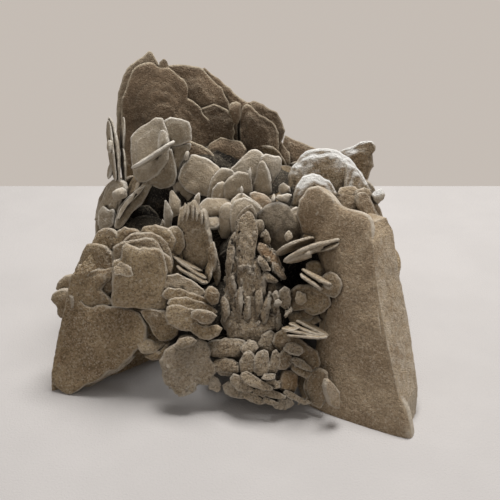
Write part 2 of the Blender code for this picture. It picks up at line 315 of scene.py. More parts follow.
def polygon_reach(angle: np.ndarray, corners: Sequence[tuple[float, float]]) -> np.ndarray:
    """Distance from the origin to a polygon round it, with its corners slightly rounded.

    Args:
        angle: directions in radians.
        corners: the polygon's corners, either way round.

    Returns:
        The distance in each direction.
    """
    samples = 720
    around = np.arange(samples) * math.tau / samples
    dx, dy = np.cos(around), np.sin(around)
    reach = np.full(samples, 1e9)
    for (ax, ay), (bx, by) in zip(corners, (*corners[1:], corners[0])):
        ex, ey = bx - ax, by - ay
        slope = dx * ey - dy * ex
        safe = np.where(np.abs(slope) < 1e-9, 1e-9, slope)
        along = (ax * ey - ay * ex) / safe
        share = (ax * dy - ay * dx) / safe
        hit = (along > 0) & (share >= -1e-6) & (share <= 1 + 1e-6)
        reach = np.where(hit, np.minimum(reach, along), reach)
    half = 5  # samples on each side that a corner is rounded over
    window = np.hanning(2 * half + 1)
    padded = np.concatenate([reach[-half:], reach, reach[:half]])
    smooth = np.convolve(padded, window / window.sum(), mode="valid")
    return np.interp(angle % math.tau, np.append(around, math.tau), np.append(smooth, smooth[0]))


@dataclass(frozen=True)
class Grower:
    """Turns crystals into closed shells, all with the same sandy habit."""

    seed: int = 1
    swell: float = 0.6  # how far large faces swell and sink
    lump: float = 0.25  # relief a few grains wide
    grit: float = 0.14  # relief one mesh cell wide
    packing: tuple[float, float] = (2.2, 0.8)  # broad and fine relief of packed sand

    def wander(self, angle: np.ndarray, ragged: float, rng: random.Random) -> np.ndarray:
        """Reach of a ragged outline, from broad waves and from chips along it.

        Args:
            angle: directions in radians.
            ragged: how far it wanders, as a share of its radius.
            rng: where the waves and the chips fall.

        Returns:
            The reach in each direction, about 1.
        """
        total = np.zeros_like(angle)
        for waves, share in ((2, 0.5), (3, 0.7), (5, 0.5), (8, 0.3)):
            total += share * rng.uniform(0.4, 1.0) * np.cos(waves * angle + rng.uniform(0, math.tau))
        for chips, share in ((23, 0.5), (47, 0.35)):
            depths = [rng.uniform(-1, 1) * share for _ in range(chips)]
            around = np.linspace(0, math.tau, chips + 1)
            total += np.interp(angle % math.tau, around, [*depths, depths[0]])
        return 1 + ragged * total

    def layers(
        self, r: np.ndarray, angle: np.ndarray, span: np.ndarray, crystal: Leaf | Plate, rng: random.Random
    ) -> tuple[np.ndarray, np.ndarray]:
        """Share of the full thickness at each point, stepped like stacked growth layers.

        Args:
            r: distance from the middle, 1 at the rim.
            angle: direction from the middle.
            span: distance in millimetres from the middle to the rim, in that direction.
            crystal: its habit and the number of its layers.
            rng: where the layers' edges wander.

        Returns:
            The share, 0 at the rim and up to 1 in the middle, and how near each point is to an edge.
        """
        rim, flat = crystal.habit.value
        body = rim * (1 - r**RIM_POWER) ** 0.5 + (1 - rim) * (1 - r**flat)
        total, edge = body, 1.0
        near = np.clip(1.35 - (1 - r) * span / RIM, 0, 1)
        weights = [rng.uniform(0.12, 0.3) for _ in range(crystal.steps - 1)]
        for weight in weights:
            edge *= rng.uniform(0.66, 0.86)
            bound = edge * self.wander(angle, 0.08, rng)
            reach = np.clip(r / bound, 0, 1)
            total = total + weight * (1 - reach**LAYER_POWER) ** 0.6
            band = np.clip(1.2 - np.abs(bound - r) * span / RIM, 0, 1)
            near = np.maximum(near, LAYER_MARK * band)
        return total / (1 + sum(weights)), near

    def relief(self, points: np.ndarray) -> np.ndarray:
        """How far a face swells out.

        Args:
            points: places as an (n, 3) array.

        Returns:
            Millimetres outward at each point.
        """
        broad = layered_noise(points, 16, self.seed)
        fine = layered_noise(points, 3.0, self.seed + 5, 2)
        return self.swell * broad + self.lump * fine

    def shake(self, points: np.ndarray) -> np.ndarray:
        """Points moved a little every way, as if each were a grain."""
        moves = [lattice_noise(points, 1.5, self.seed + 40 + k) for k in range(3)]
        return points + self.grit * np.stack(moves, -1)

    def slab(
        self,
        crystal: Leaf | Plate,
        extent: tuple[float, float],
        reach: np.ndarray,
        cells: int,
        rng: random.Random,
    ) -> Shell:
        """A crystal of two stepped faces that meet in a rim.

        Args:
            crystal: where it stands, its thickness, habit and marks.
            extent: half its length and half its width.
            reach: how far its outline goes in the direction of each grid point.
            cells: cells across its grid.
            rng: its own chance.

        Returns:
            The closed shell in the layout's frame.
        """
        u, v, side, faces = disc_grid(cells)
        r, angle = np.minimum(np.hypot(u, v), 1.0), np.arctan2(v, u)
        x, z = extent[0] * u * reach, extent[1] * v * reach
        span = np.hypot(x, z) / np.maximum(r, 1e-6)
        front, front_edge = self.layers(r, angle, span, crystal, rng)
        rear, rear_edge = self.layers(r, angle, span, crystal, rng)
        size = max(abs(x).max(), abs(z).max())
        bend = size * rng.uniform(-0.05, 0.05) * ((x / size) ** 2 - 0.4 * (z / size) ** 2)
        wave = 0.1 * crystal.thick * np.cos(3 * angle + rng.uniform(0, math.tau)) * r**4
        y = crystal.thick / 2 * side * np.where(side < 0, front, rear) + bend + wave
        turn = np.array(crystal.placement())
        points = np.stack([x, y, z], -1) @ turn[:3, :3].T + turn[:3, 3]
        inside = np.clip(4 * (1 - r), 0, 1)
        outward = np.outer(side * inside, turn[:3, 1])
        points = self.shake(points + outward * self.relief(points)[:, None])
        edge = np.where(side < 0, front_edge, rear_edge)
        marks = {
            "tone": rng.random(),
            "pale": crystal.pale,
            "rust": crystal.rust,
            "soil_and_shade": crystal.soil_and_shade,
            "rim": edge,
        }
        return Shell(points, faces, marks)

    def leaf(self, leaf: Leaf, rng: random.Random) -> Shell:
        """The closed shell of one lens-shaped crystal.

        Args:
            leaf: the crystal.
            rng: its own chance.

        Returns:
            The shell in the layout's frame.
        """
        cell = SMALL_CELL if leaf.length < SMALL else CELL
        if leaf.length > LARGE:
            cell = LARGE_CELL
        cells = max(8, round(GRID_SHARE * max(leaf.length, leaf.width) / cell))
        u, v, _, _ = disc_grid(cells)
        angle = np.arctan2(v, u)
        reach = superellipse(angle, leaf.outline.value) * self.wander(angle, leaf.ragged, rng)
        extent = (leaf.length / 2, leaf.width / 2)
        return self.slab(leaf, extent, reach, cells, rng)

    def plate(self, plate: Plate, rng: random.Random) -> Shell:
        """The closed shell of one large plate.

        Args:
            plate: the crystal.
            rng: its own chance.

        Returns:
            The shell in the layout's frame.
        """
        across, up = zip(*plate.corners)
        span = max(max(across) - min(across), max(up) - min(up))
        cells = max(10, round(GRID_SHARE * span / (SMALL_CELL if span < SMALL else CELL)))
        u, v, _, _ = disc_grid(cells)
        angle = np.arctan2(v, u)
        reach = polygon_reach(angle, plate.corners) * self.wander(angle, plate.ragged, rng)
        return self.slab(plate, (1.0, 1.0), reach, cells, rng)

    def packed(self, lump: Lump) -> Shell:
        """The closed shell of one lump of packed sand.

        Args:
            lump: its middle and its radii.

        Returns:
            The shell in the layout's frame.
        """
        cells = max(12, round(0.6 * max(lump.radii) / CELL))
        u, v, side, faces = disc_grid(cells)
        r = np.clip(np.hypot(u, v), 0, 1)
        rx, ry, rz = lump.radii
        points = np.stack([rx * u, ry * side * np.sqrt(1 - r**2), rz * v], -1)
        outward = points / np.linalg.norm(points, axis=1)[:, None]
        points = points + np.array(lump.middle)
        broad, fine = self.packing
        rough = broad * layered_noise(points, 14, self.seed + 3)
        rough += fine * layered_noise(points, 4, self.seed)
        points = self.shake(points + outward * rough[:, None])
        return Shell(points, faces, PLAIN)

    def block(self, block: Block) -> Shell:
        """The closed shell of one thick crystal, skinned between its outlines.

        Args:
            block: the outlines, all with the same number of corners.

        Returns:
            The shell in the layout's frame.
        """
        levels = [np.array([(x, y, z) for x, y in outline]) for z, outline in block.levels]
        sides = len(levels[0])
        spans = [
            max(np.linalg.norm(level[(i + 1) % sides] - level[i]) for level in levels)
            for i in range(sides)
        ]
        counts = [max(2, round(span / CELL)) for span in spans]
        rows: list[np.ndarray] = []
        for lower, upper in zip(levels, levels[1:]):
            rise = max(1, round(np.linalg.norm(upper - lower, axis=1).max() / CELL))
            for k in range(rise + (upper is levels[-1])):
                ring = lower + (upper - lower) * k / rise
                edges = zip(ring, np.roll(ring, -1, axis=0), counts)
                rows.append(np.concatenate([a + np.outer(np.arange(n) / n, b - a) for a, b, n in edges]))
        around = len(rows[0])
        grid = np.stack([*self.cap(rows[0])[::-1], *rows, *self.cap(rows[-1])])
        points = np.concatenate([grid[0].mean(0)[None], grid.reshape(-1, 3), grid[-1].mean(0)[None]])
        index = 1 + np.arange(len(grid) * around).reshape(len(grid), around)
        turned = np.roll(index, -1, axis=1)
        faces = np.stack([index[:-1], turned[:-1], turned[1:], index[1:]], -1).reshape(-1, 4).tolist()
        last = len(points) - 1
        faces += [(0, int(b), int(a)) for a, b in zip(index[0], turned[0])]
        faces += [(last, int(a), int(b)) for a, b in zip(index[-1], turned[-1])]
        middle = points.mean(0)
        sideways = (1.0, 1.0, 0.3)  # a block swells little in height
        outward = (points - middle) * sideways
        outward /= np.linalg.norm(outward, axis=1)[:, None]
        points = self.shake(points + outward * self.relief(points)[:, None])
        return Shell(points, faces, PLAIN)

    @staticmethod
    def cap(edge: np.ndarray) -> list[np.ndarray]:
        """Shrinking rings that close an edge.

        Args:
            edge: the points round it.

        Returns:
            The rings, from the edge inward.
        """
        middle = edge.mean(0)
        rings = max(4, round(np.linalg.norm(edge - middle, axis=1).min() / (2 * CELL)))
        return [middle + (edge - middle) * (1 - k / rings) for k in range(1, rings)]


# --------------------------------------
# Finish
# --------------------------------------


class Graph:
    """Adds shader nodes to a material, one call for a node with its values and links."""

    def __init__(self, owner: bpy.types.Material | bpy.types.World) -> None:
        """Empty the owner's node tree.

        Args:
            owner: the material or the world that the nodes are for.
        """
        owner.use_nodes = True
        self.tree = owner.node_tree
        self.tree.nodes.clear()

    def add(self, kind: str, inputs: dict[Any, Any] | None = None, **settings: Any) -> bpy.types.Node:
        """Add one node.

        Args:
            kind: the node's type, without its ShaderNode prefix.
            inputs: for each input, by name or number, a value or the output that feeds it.
            settings: the node's own properties.

        Returns:
            The node.
        """
        node = self.tree.nodes.new("ShaderNode" + kind)
        for key, value in settings.items():
            setattr(node, key, value)
        for key, value in (inputs or {}).items():
            if isinstance(value, Socket):
                self.tree.links.new(value, node.inputs[key])
            else:
                node.inputs[key].default_value = value
        return node

    def math(self, operation: str, a: Any, b: Any = 0.0, clamp: bool = False) -> Socket:
        """The result of one arithmetic step on numbers or outputs."""
        return self.add("Math", {0: a, 1: b}, operation=operation, use_clamp=clamp).outputs[0]

    def noise(self, where: Any, size: float, detail: float = 3.0, rough: float = 0.55) -> Socket:
        """Noise whose features are about size millimetres wide."""
        inputs = {"Vector": where, "Scale": 1 / size, "Detail": detail, "Roughness": rough}
        return self.add("TexNoise", inputs).outputs[0]

    def span(
        self, value: Any, low: float, high: float, first: float = 0.0, last: float = 1.0
    ) -> Socket:
        """A value that runs smoothly from first to last while the input runs from low to high."""
        inputs = {0: value, 1: low, 2: high, 3: first, 4: last}
        return self.add("MapRange", inputs, interpolation_type="SMOOTHSTEP").outputs[0]

    def mix(self, share: Any, a: Any, b: Any) -> Socket:
        """One colour mixed into another.

        Args:
            share: how much of the second colour, from 0 to 1.
            a: the first colour, or the output that gives it.
            b: the second one.

        Returns:
            The mixed colour.
        """
        a, b = (c if isinstance(c, Socket) else (*c, 1.0) for c in (a, b))
        node = self.add("Mix", {0: share, 6: a, 7: b}, data_type="RGBA")
        return node.outputs[2]

    def attribute(self, name: str) -> Socket:
        """A number kept at each point of the mesh."""
        return self.add("Attribute", attribute_name=name).outputs["Fac"]

    def millimetres(self) -> Socket:
        """The place on the object, in millimetres."""
        place = self.add("TexCoord").outputs["Object"]
        return self.add("VectorMath", {0: place, "Scale": 1 / MM}, operation="SCALE").outputs[0]

    def bump(self, height: Socket) -> Socket:
        """The normal of a surface with this relief, in metres."""
        return self.add("Bump", {"Strength": 1.0, "Distance": 1.0, "Height": height}).outputs[0]

    def dull(self, colour: Socket, roughness: float, normal: Socket, specular: float = 0.5) -> None:
        """End the material in one shader.

        Args:
            colour: of the surface.
            roughness: of the surface.
            normal: with its fine relief.
            specular: how strongly it shines.
        """
        inputs = {
            "Base Color": colour,
            "Roughness": roughness,
            "Specular IOR Level": specular,
            "Normal": normal,
        }
        shader = self.add("BsdfPrincipled", inputs)
        self.add("OutputMaterial", {"Surface": shader.outputs[0]})


@dataclass(frozen=True)
class SandyFinish:
    """Sand-filled gypsum: clouded brown, speckled with grains, pale on rims, with painted shade in its
    hollows and folds and, where asked, painted light on what faces right.
    """

    name: str
    shade: Colour = (0.295, 0.208, 0.120)  # in the darker clouds
    light: Colour = (0.52, 0.393, 0.240)  # in the paler clouds
    rim: Colour = (0.64, 0.57, 0.47)
    # dark of single grains, and the painted shade that darkens hollows, folds and crystals deep in the gaps
    grain_and_shade_dark: Colour = (0.030, 0.022, 0.015)
    rust: Colour = (0.36, 0.19, 0.08)
    crust: Colour = (0.90, 0.885, 0.85)
    rim_share: float = 0.85
    # how far the painted shade in the hollows darkens toward that dark
    grain_and_shade_dark_share: float = 0.9
    rust_share: float = 0.3
    crust_share: float = 0.0  # how much white crust lies on what faces up
    crust_from: float = 0.85  # how far up that has to face
    lit_flank_share: float = 0.0  # painted light: how much paler what faces right is, as if lit from the right
    worn_share: float = 0.6  # how pale a worn edge is, as a share of the rim
    crease_shade_share: float = 0.6  # how dark the painted shade in a fold is, as a share of a hollow's
    hollow_shade_span: tuple[float, float] = (0.28, 0.80)  # where the painted shade of the hollows begins and is full
    patch_share: float = 0.5  # how much patches shift what faces up or right
    speckle: float = 0.45  # contrast between grains
    grain_width: float = 0.9
    pit_width: float = 0.7
    grain: float = 0.75  # height of the grains, in millimetres
    streak: float = 0.0  # height of the streaks down the faces, in millimetres
    roughness: float = 0.9
    specular: float = 0.25

    def material(self) -> bpy.types.Material:
        """Build the finish.

        Returns:
            The node material.
        """
        material = bpy.data.materials.new(self.name)
        g = Graph(material)
        mm = g.millimetres()
        colour = self.clouds(g, mm)
        colour = self.grains(g, mm, colour)
        colour = self.weather_and_shade(g, mm, colour)
        g.dull(colour, self.roughness, self.surface(g, mm), self.specular)
        return material

    def clouds(self, g: Graph, mm: Socket) -> Socket:
        """Broad clouds of two browns, shifted from crystal to crystal.

        Args:
            g: the material's nodes.
            mm: the place on the object, in millimetres.

        Returns:
            The colour so far.
        """
        cloud = g.noise(mm, 26, 5, 0.6)
        tone = g.math("MULTIPLY", g.attribute("tone"), 0.22)
        share = g.span(g.math("ADD", cloud, tone), 0.38, 0.82)
        colour = g.mix(share, self.shade, self.light)
        rust = g.span(g.noise(mm, 15, 4, 0.65), 0.58, 0.78, 0.0, self.rust_share)
        return g.mix(rust, colour, self.rust)

    def grains(self, g: Graph, mm: Socket, colour: Socket) -> Socket:
        """Single grains, some dark and some bright.

        Args:
            g: the material's nodes.
            mm: the place on the object, in millimetres.
            colour: that the grains lie on.

        Returns:
            The colour so far.
        """
        cells = g.add("TexVoronoi", {"Vector": mm, "Scale": 1 / self.grain_width}, feature="F1")
        one = g.add("SeparateColor", {0: cells.outputs["Color"]}).outputs[0]
        sand = g.span(g.noise(mm, 1.3, 3, 0.7), 0.34, 0.66, -1.0, 1.0)
        one = g.math("ADD", one, g.math("MULTIPLY", sand, 0.28))
        dark = g.span(one, -0.1, 0.5, self.speckle, 0.0)
        colour = g.mix(dark, colour, self.grain_and_shade_dark)
        bright = g.span(one, 0.6, 1.15, 0.0, self.speckle)
        return g.mix(bright, colour, self.rim)

    def weather_and_shade(self, g: Graph, mm: Socket, colour: Socket) -> Socket:
        """Rust, pale rims, packed earth and painted shade on single crystals, painted shade in hollows and
        folds, painted light on what faces right, and white crust on what faces up.

        Args:
            g: the material's nodes.
            mm: the place on the object, in millimetres.
            colour: that is weathered.

        Returns:
            The final colour.
        """
        patchy = g.noise(mm, 6, 4, 0.6)
        rust = g.math("MULTIPLY", g.attribute("rust"), g.span(patchy, 0.35, 0.65, 0.3, 1.0))
        colour = g.mix(rust, colour, self.rust)
        worn = g.math("MULTIPLY", g.attribute("worn"), self.worn_share)
        rim = g.math("MAXIMUM", g.attribute("rim"), worn)
        rim = g.math("MULTIPLY", rim, g.span(g.noise(mm, 11, 3), 0.35, 0.6, 0.4, 1.0))
        colour = g.mix(g.math("MULTIPLY", rim, self.rim_share, True), colour, self.rim)
        pale = g.math("MULTIPLY", g.attribute("pale"), g.span(patchy, 0.35, 0.6, 0.5, 2.0))
        colour = g.mix(g.math("MULTIPLY", pale, 1.0, True), colour, self.rim)
        # packed earth, and painted shade on crystals that sit deep in the gaps
        soil_and_shade = g.math("MULTIPLY", g.attribute("soil_and_shade"), g.span(patchy, 0.3, 0.6, 1.0, 0.6))
        colour = g.mix(soil_and_shade, colour, self.grain_and_shade_dark)
        # painted shade: folds, and places that little daylight reaches, are darkened toward near black
        crease_shade = g.math("MULTIPLY", g.attribute("crease_shade"), self.crease_shade_share)
        hollow = g.math("MAXIMUM", crease_shade, g.span(g.attribute("hollow"), *self.hollow_shade_span))
        colour = g.mix(g.math("MULTIPLY", hollow, self.grain_and_shade_dark_share, True), colour, self.grain_and_shade_dark)
        faces = g.add("SeparateXYZ", {0: g.add("NewGeometry").outputs["Normal"]})
        right, _, up = faces.outputs
        patches = g.math("MULTIPLY", patchy, self.patch_share)
        # painted light: faces that look right are made paler
        if self.lit_flank_share:
            lit_flank = g.math("ADD", right, patches)
            colour = g.mix(g.span(lit_flank, 0.85, 1.15, 0.0, self.lit_flank_share), colour, self.rim)
        top = g.math("ADD", up, patches)
        facing = g.span(top, self.crust_from, self.crust_from + 0.35)
        crust = g.math("MULTIPLY", facing, self.crust_share)
        return g.mix(crust, colour, self.crust)

    def surface(self, g: Graph, mm: Socket) -> Socket:
        """Relief too fine for the mesh: grains, pits and streaks.

        Args:
            g: the material's nodes.
            mm: the place on the object, in millimetres.

        Returns:
            The normal.
        """
        pits = g.span(g.noise(mm, 1.6, 4, 0.7), 0.3, 0.7)
        cells = g.add("TexVoronoi", {"Vector": mm, "Scale": 1 / self.pit_width}, feature="F1")
        height = g.math("SUBTRACT", pits, g.math("MULTIPLY", cells.outputs["Distance"], 0.8))
        height = g.math("MULTIPLY", height, self.grain * MM)
        if self.streak:
            stretched = g.add("Mapping", {0: mm, "Scale": (1.0, 1.0, 0.07)}).outputs[0]
            streaks = g.math("MULTIPLY", g.noise(stretched, 1.8, 3), self.streak * MM)
            height = g.math("ADD", height, streaks)
        return g.bump(height)


BROWN = SandyFinish("gypsum_brown")
DARK = SandyFinish(
    "gypsum_dark",
    shade=(0.150, 0.105, 0.068),
    light=(0.315, 0.225, 0.145),
    rim=(0.56, 0.48, 0.36),
    rust_share=0.25,
    speckle=0.22,
)
PALE = SandyFinish(
    "gypsum_pale",
    shade=(0.275, 0.220, 0.150),
    light=(0.425, 0.355, 0.262),
    rim=(0.72, 0.68, 0.61),
    rim_share=0.8,
    rust_share=0.15,
    speckle=0.18,
    grain=0.3,
    streak=0.35,
)
DISC = replace(
    PALE, name="gypsum_disc", shade=(0.33, 0.265, 0.185), light=(0.60, 0.50, 0.37), speckle=0.16
)
CAPPED = replace(
    BROWN,
    name="gypsum_capped",
    light=(0.43, 0.335, 0.22),
    crust_share=1.0,
    crust_from=0.64,
    rust_share=0.5,
)
PROW_FACE = replace(
    BROWN,
    name="gypsum_prow",
    shade=(0.265, 0.190, 0.118),
    light=(0.47, 0.365, 0.245),
    streak=0.85,
    grain=0.45,
    rust_share=0.22,
    speckle=0.3,
    lit_flank_share=0.55,
)
COARSE = replace(
    BROWN,
    name="gypsum_coarse",
    shade=(0.37, 0.275, 0.175),
    light=(0.57, 0.45, 0.31),
    grain=1.3,
    speckle=0.55,
    grain_and_shade_dark_share=0.95,
)
# Painted shade: the core is near black, standing in for the deep shadow in the gaps between the crystals.
GAP_SHADE = replace(
    DARK, name="gypsum_gap_shade", shade=(0.005, 0.004, 0.003), light=(0.014, 0.010, 0.007), rim_share=0.2
)


# --------------------------------------
# How a cluster is made
# --------------------------------------


def shell_object(name: str, shell: Shell) -> bpy.types.Object:
    """Turn a shell into an object, still in millimetres.

    Args:
        name: the object's name.
        shell: the closed surface.

    Returns:
        The object, not yet linked. Its marks are stored one too high, so that a point that the
        fusing adds, which gets 0, can be told from the rest.
    """
    mesh = bpy.data.meshes.new(name)
    mesh.from_pydata(shell.points, [], shell.faces)
    for key, value in shell.marks.items():
        layer = mesh.attributes.new(key, "FLOAT", "POINT")
        layer.data.foreach_set("value", (np.zeros(len(shell.points)) + 1 + value).astype(np.float32))
    return bpy.data.objects.new(name, mesh)


def combine(target: bpy.types.Object, others: list[bpy.types.Object], operation: str) -> None:
    """Run one Boolean of target with all others, and drop them.

    Args:
        target: the object that keeps the result.
        others: the objects that are joined to it or cut from it.
        operation: UNION or DIFFERENCE.
    """
    scene = bpy.context.scene.collection
    group = bpy.data.collections.new("operands")
    scene.children.link(group)
    for other in others:
        group.objects.link(other)
    modifier = target.modifiers.new("combine", "BOOLEAN")
    modifier.operand_type = "COLLECTION"
    modifier.collection = group
    modifier.operation = operation
    modifier.solver = "MANIFOLD"
    depsgraph = bpy.context.evaluated_depsgraph_get()
    result = bpy.data.meshes.new_from_object(target.evaluated_get(depsgraph))
    target.modifiers.clear()
    target.data = result
    for other in others:
        bpy.data.objects.remove(other)
    bpy.data.collections.remove(group)


class Skin:
    """The fused surface of a cluster, for work on all its points at once."""

    fill_passes: int = 4  # how many points away from a known mark it is filled in

    def __init__(self, mesh: bpy.types.Mesh) -> None:
        """Read the mesh's points, edges and normals.

        Args:
            mesh: the fused surface.
        """
        self.mesh = mesh
        n = len(mesh.vertices)
        self.points = np.empty(3 * n, np.float32)
        mesh.vertices.foreach_get("co", self.points)
        self.points = self.points.reshape(n, 3).astype(float)
        self.edges = np.empty(2 * len(mesh.edges), np.int32)
        mesh.edges.foreach_get("vertices", self.edges)
        self.edges = self.edges.reshape(-1, 2)
        self.degree = np.bincount(self.edges.ravel(), minlength=n)
        self.normals = np.empty(3 * n, np.float32)
        mesh.vertices.foreach_get("normal", self.normals)
        self.normals = self.normals.reshape(n, 3)

    def gather(self, values: np.ndarray) -> np.ndarray:
        """Sum of the neighbours' values.

        Args:
            values: one for each point.

        Returns:
            The sum at each point.
        """
        a, b = self.edges.T
        n = len(self.degree)
        return np.bincount(a, values[b], n) + np.bincount(b, values[a], n)

    def read(self, name: str) -> np.ndarray:
        """Read a mark, and fill it in at points that the fusing added.

        Args:
            name: of the mark.

        Returns:
            Its value at each point.
        """
        values = np.empty(len(self.degree), np.float32)
        self.mesh.attributes[name].data.foreach_get("value", values)
        values = values.astype(float)
        known = values > 0.5
        for _ in range(self.fill_passes):
            if known.all():
                break
            total = self.gather(np.where(known, values, 0))
            count = self.gather(known.astype(float))
            fill = ~known & (count > 0)
            values[fill] = total[fill] / count[fill]
            known |= fill
        return np.where(known, values - 1, 0.5)

    def write(self, name: str, values: np.ndarray) -> None:
        """Keep a number at each point."""
        layer = self.mesh.attributes.get(name) or self.mesh.attributes.new(name, "FLOAT", "POINT")
        layer.data.foreach_set("value", values.astype(np.float32))

    def bulge(self, passes: int) -> np.ndarray:
        """How far each point stands out of its smoothed surroundings.

        Args:
            passes: how often the surroundings are smoothed.

        Returns:
            The distance at each point, in the mesh's units.
        """
        smooth = self.points.copy()
        for _ in range(passes):
            for k in range(3):
                average = self.gather(smooth[:, k]) / np.maximum(self.degree, 1)
                smooth[:, k] = 0.5 * smooth[:, k] + 0.5 * average
        return np.einsum("ij,ij->i", self.points - smooth, self.normals)


@dataclass
class Cluster:
    """Crystals that grew together: grown, fused into one skin, weathered and given their finish."""

    name: str = ""
    finish: SandyFinish = BROWN
    grower: Grower = Grower()
    blocks: tuple[Block, ...] = ()
    plates: tuple[Plate, ...] = ()
    leaves: tuple[Leaf, ...] = ()
    lumps: tuple[Lump, ...] = ()
    flakes: int = 0  # small flakes half sunk in the crystals
    flake_sizes: tuple[float, float] = (3.0, 6.0)
    flake_spread: float = 40.0  # degrees that they stray from upright

    def flake(self, place: np.ndarray, rng: random.Random) -> Leaf:
        """One small flake, turned any way but mostly upright.

        Args:
            place: of its middle.
            rng: its own chance.

        Returns:
            The flake.
        """
        size = rng.uniform(*self.flake_sizes)
        return Leaf(
            *(float(c) for c in place),
            slant=rng.gauss(90, self.flake_spread),
            turn=rng.gauss(0, 40),
            length=size,
            width=size * rng.uniform(0.4, 0.8),
            thick=size * rng.uniform(0.2, 0.4),
            heading=rng.gauss(0, 40),
            steps=1,
            ragged=0.1,
        )

    def shells(self, rng: random.Random) -> list[Shell]:
        """Grow every crystal of the cluster.

        Args:
            rng: the cluster's own chance.

        Returns:
            The closed shells, which overlap.
        """
        grown = [self.grower.packed(lump) for lump in self.lumps]
        grown += [self.grower.block(block) for block in self.blocks]
        grown += [self.grower.plate(plate, rng) for plate in self.plates]
        grown += [self.grower.leaf(leaf, rng) for leaf in self.leaves]
        if self.flakes:
            places = np.concatenate([shell.points for shell in grown])
            picked = [places[rng.randrange(len(places))] for _ in range(self.flakes)]
            grown += [self.grower.leaf(self.flake(place, rng), rng) for place in picked]
        return grown

    def build(self) -> bpy.types.Object:
        """Fuse the shells, cut them off flat underneath, and mark the skin's wear and the folds that are
        painted as shade.

        Returns:
            The finished piece, in metres.
        """
        rng = random.Random(self.grower.seed)
        shells = self.shells(rng)
        first, *rest = [shell_object(f"{self.name}_{i}", s) for i, s in enumerate(shells)]
        bpy.context.scene.collection.objects.link(first)
        if rest:
            combine(first, rest, "UNION")
        combine(first, [self.ground()], "DIFFERENCE")
        first.name = self.name
        first.data.name = self.name
        self.weather_and_shade(first.data)
        first.data.transform(
            Matrix.Scale(MM, 4) @ Matrix.Translation((-MIDDLE_XY[0], -MIDDLE_XY[1], 0.0))
        )
        return first

    @staticmethod
    def ground() -> bpy.types.Object:
        """The room below what the rose rests on.

        Returns:
            A block with its top at z = 0, not yet linked.
        """
        across, deep = 600, 120
        bm = bmesh.new()
        place = Matrix.Translation((0, 0, -deep / 2)) @ Matrix.Diagonal((across, across, deep, 1))
        bmesh.ops.create_cube(bm, size=1.0, matrix=place)
        mesh = bpy.data.meshes.new("ground")
        bm.to_mesh(mesh)
        bm.free()
        return bpy.data.objects.new("ground", mesh)

    def weather_and_shade(self, mesh: bpy.types.Mesh) -> None:
        """Keep its marks at each point, how worn it is there, and how deep a fold it lies in, for the painted
        shade.

        Args:
            mesh: the fused surface.
        """
        skin = Skin(mesh)
        for mark in MARKS:
            skin.write(mark, skin.read(mark))
        near = skin.bulge(SMOOTHING)
        for name, side, (start, grows) in (("worn", 1, WORN), ("crease_shade", -1, CREASE)):
            skin.write(name, np.clip((side * near - start) / grows, 0, 1))

    def dress(self, piece: bpy.types.Object) -> None:
        """Give the piece its finish and its shading.

        Args:
            piece: the fused piece.
        """
        piece.data.materials.clear()
        piece.data.materials.append(self.finish.material())
        piece.data.shade_smooth()
        piece.data.set_sharp_from_angle(angle=math.radians(CREASE_DEG))

    def fit(self, piece: bpy.types.Object) -> None:
        """Dress the piece and set it in the frame.

        Args:
            piece: the fused piece.
        """
        self.dress(piece)
        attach(piece, BODY)
        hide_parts(NODE)
        triangles = sum(len(p.vertices) - 2 for p in piece.data.polygons)
        LOG.info("%s: %d triangles", self.name, triangles)


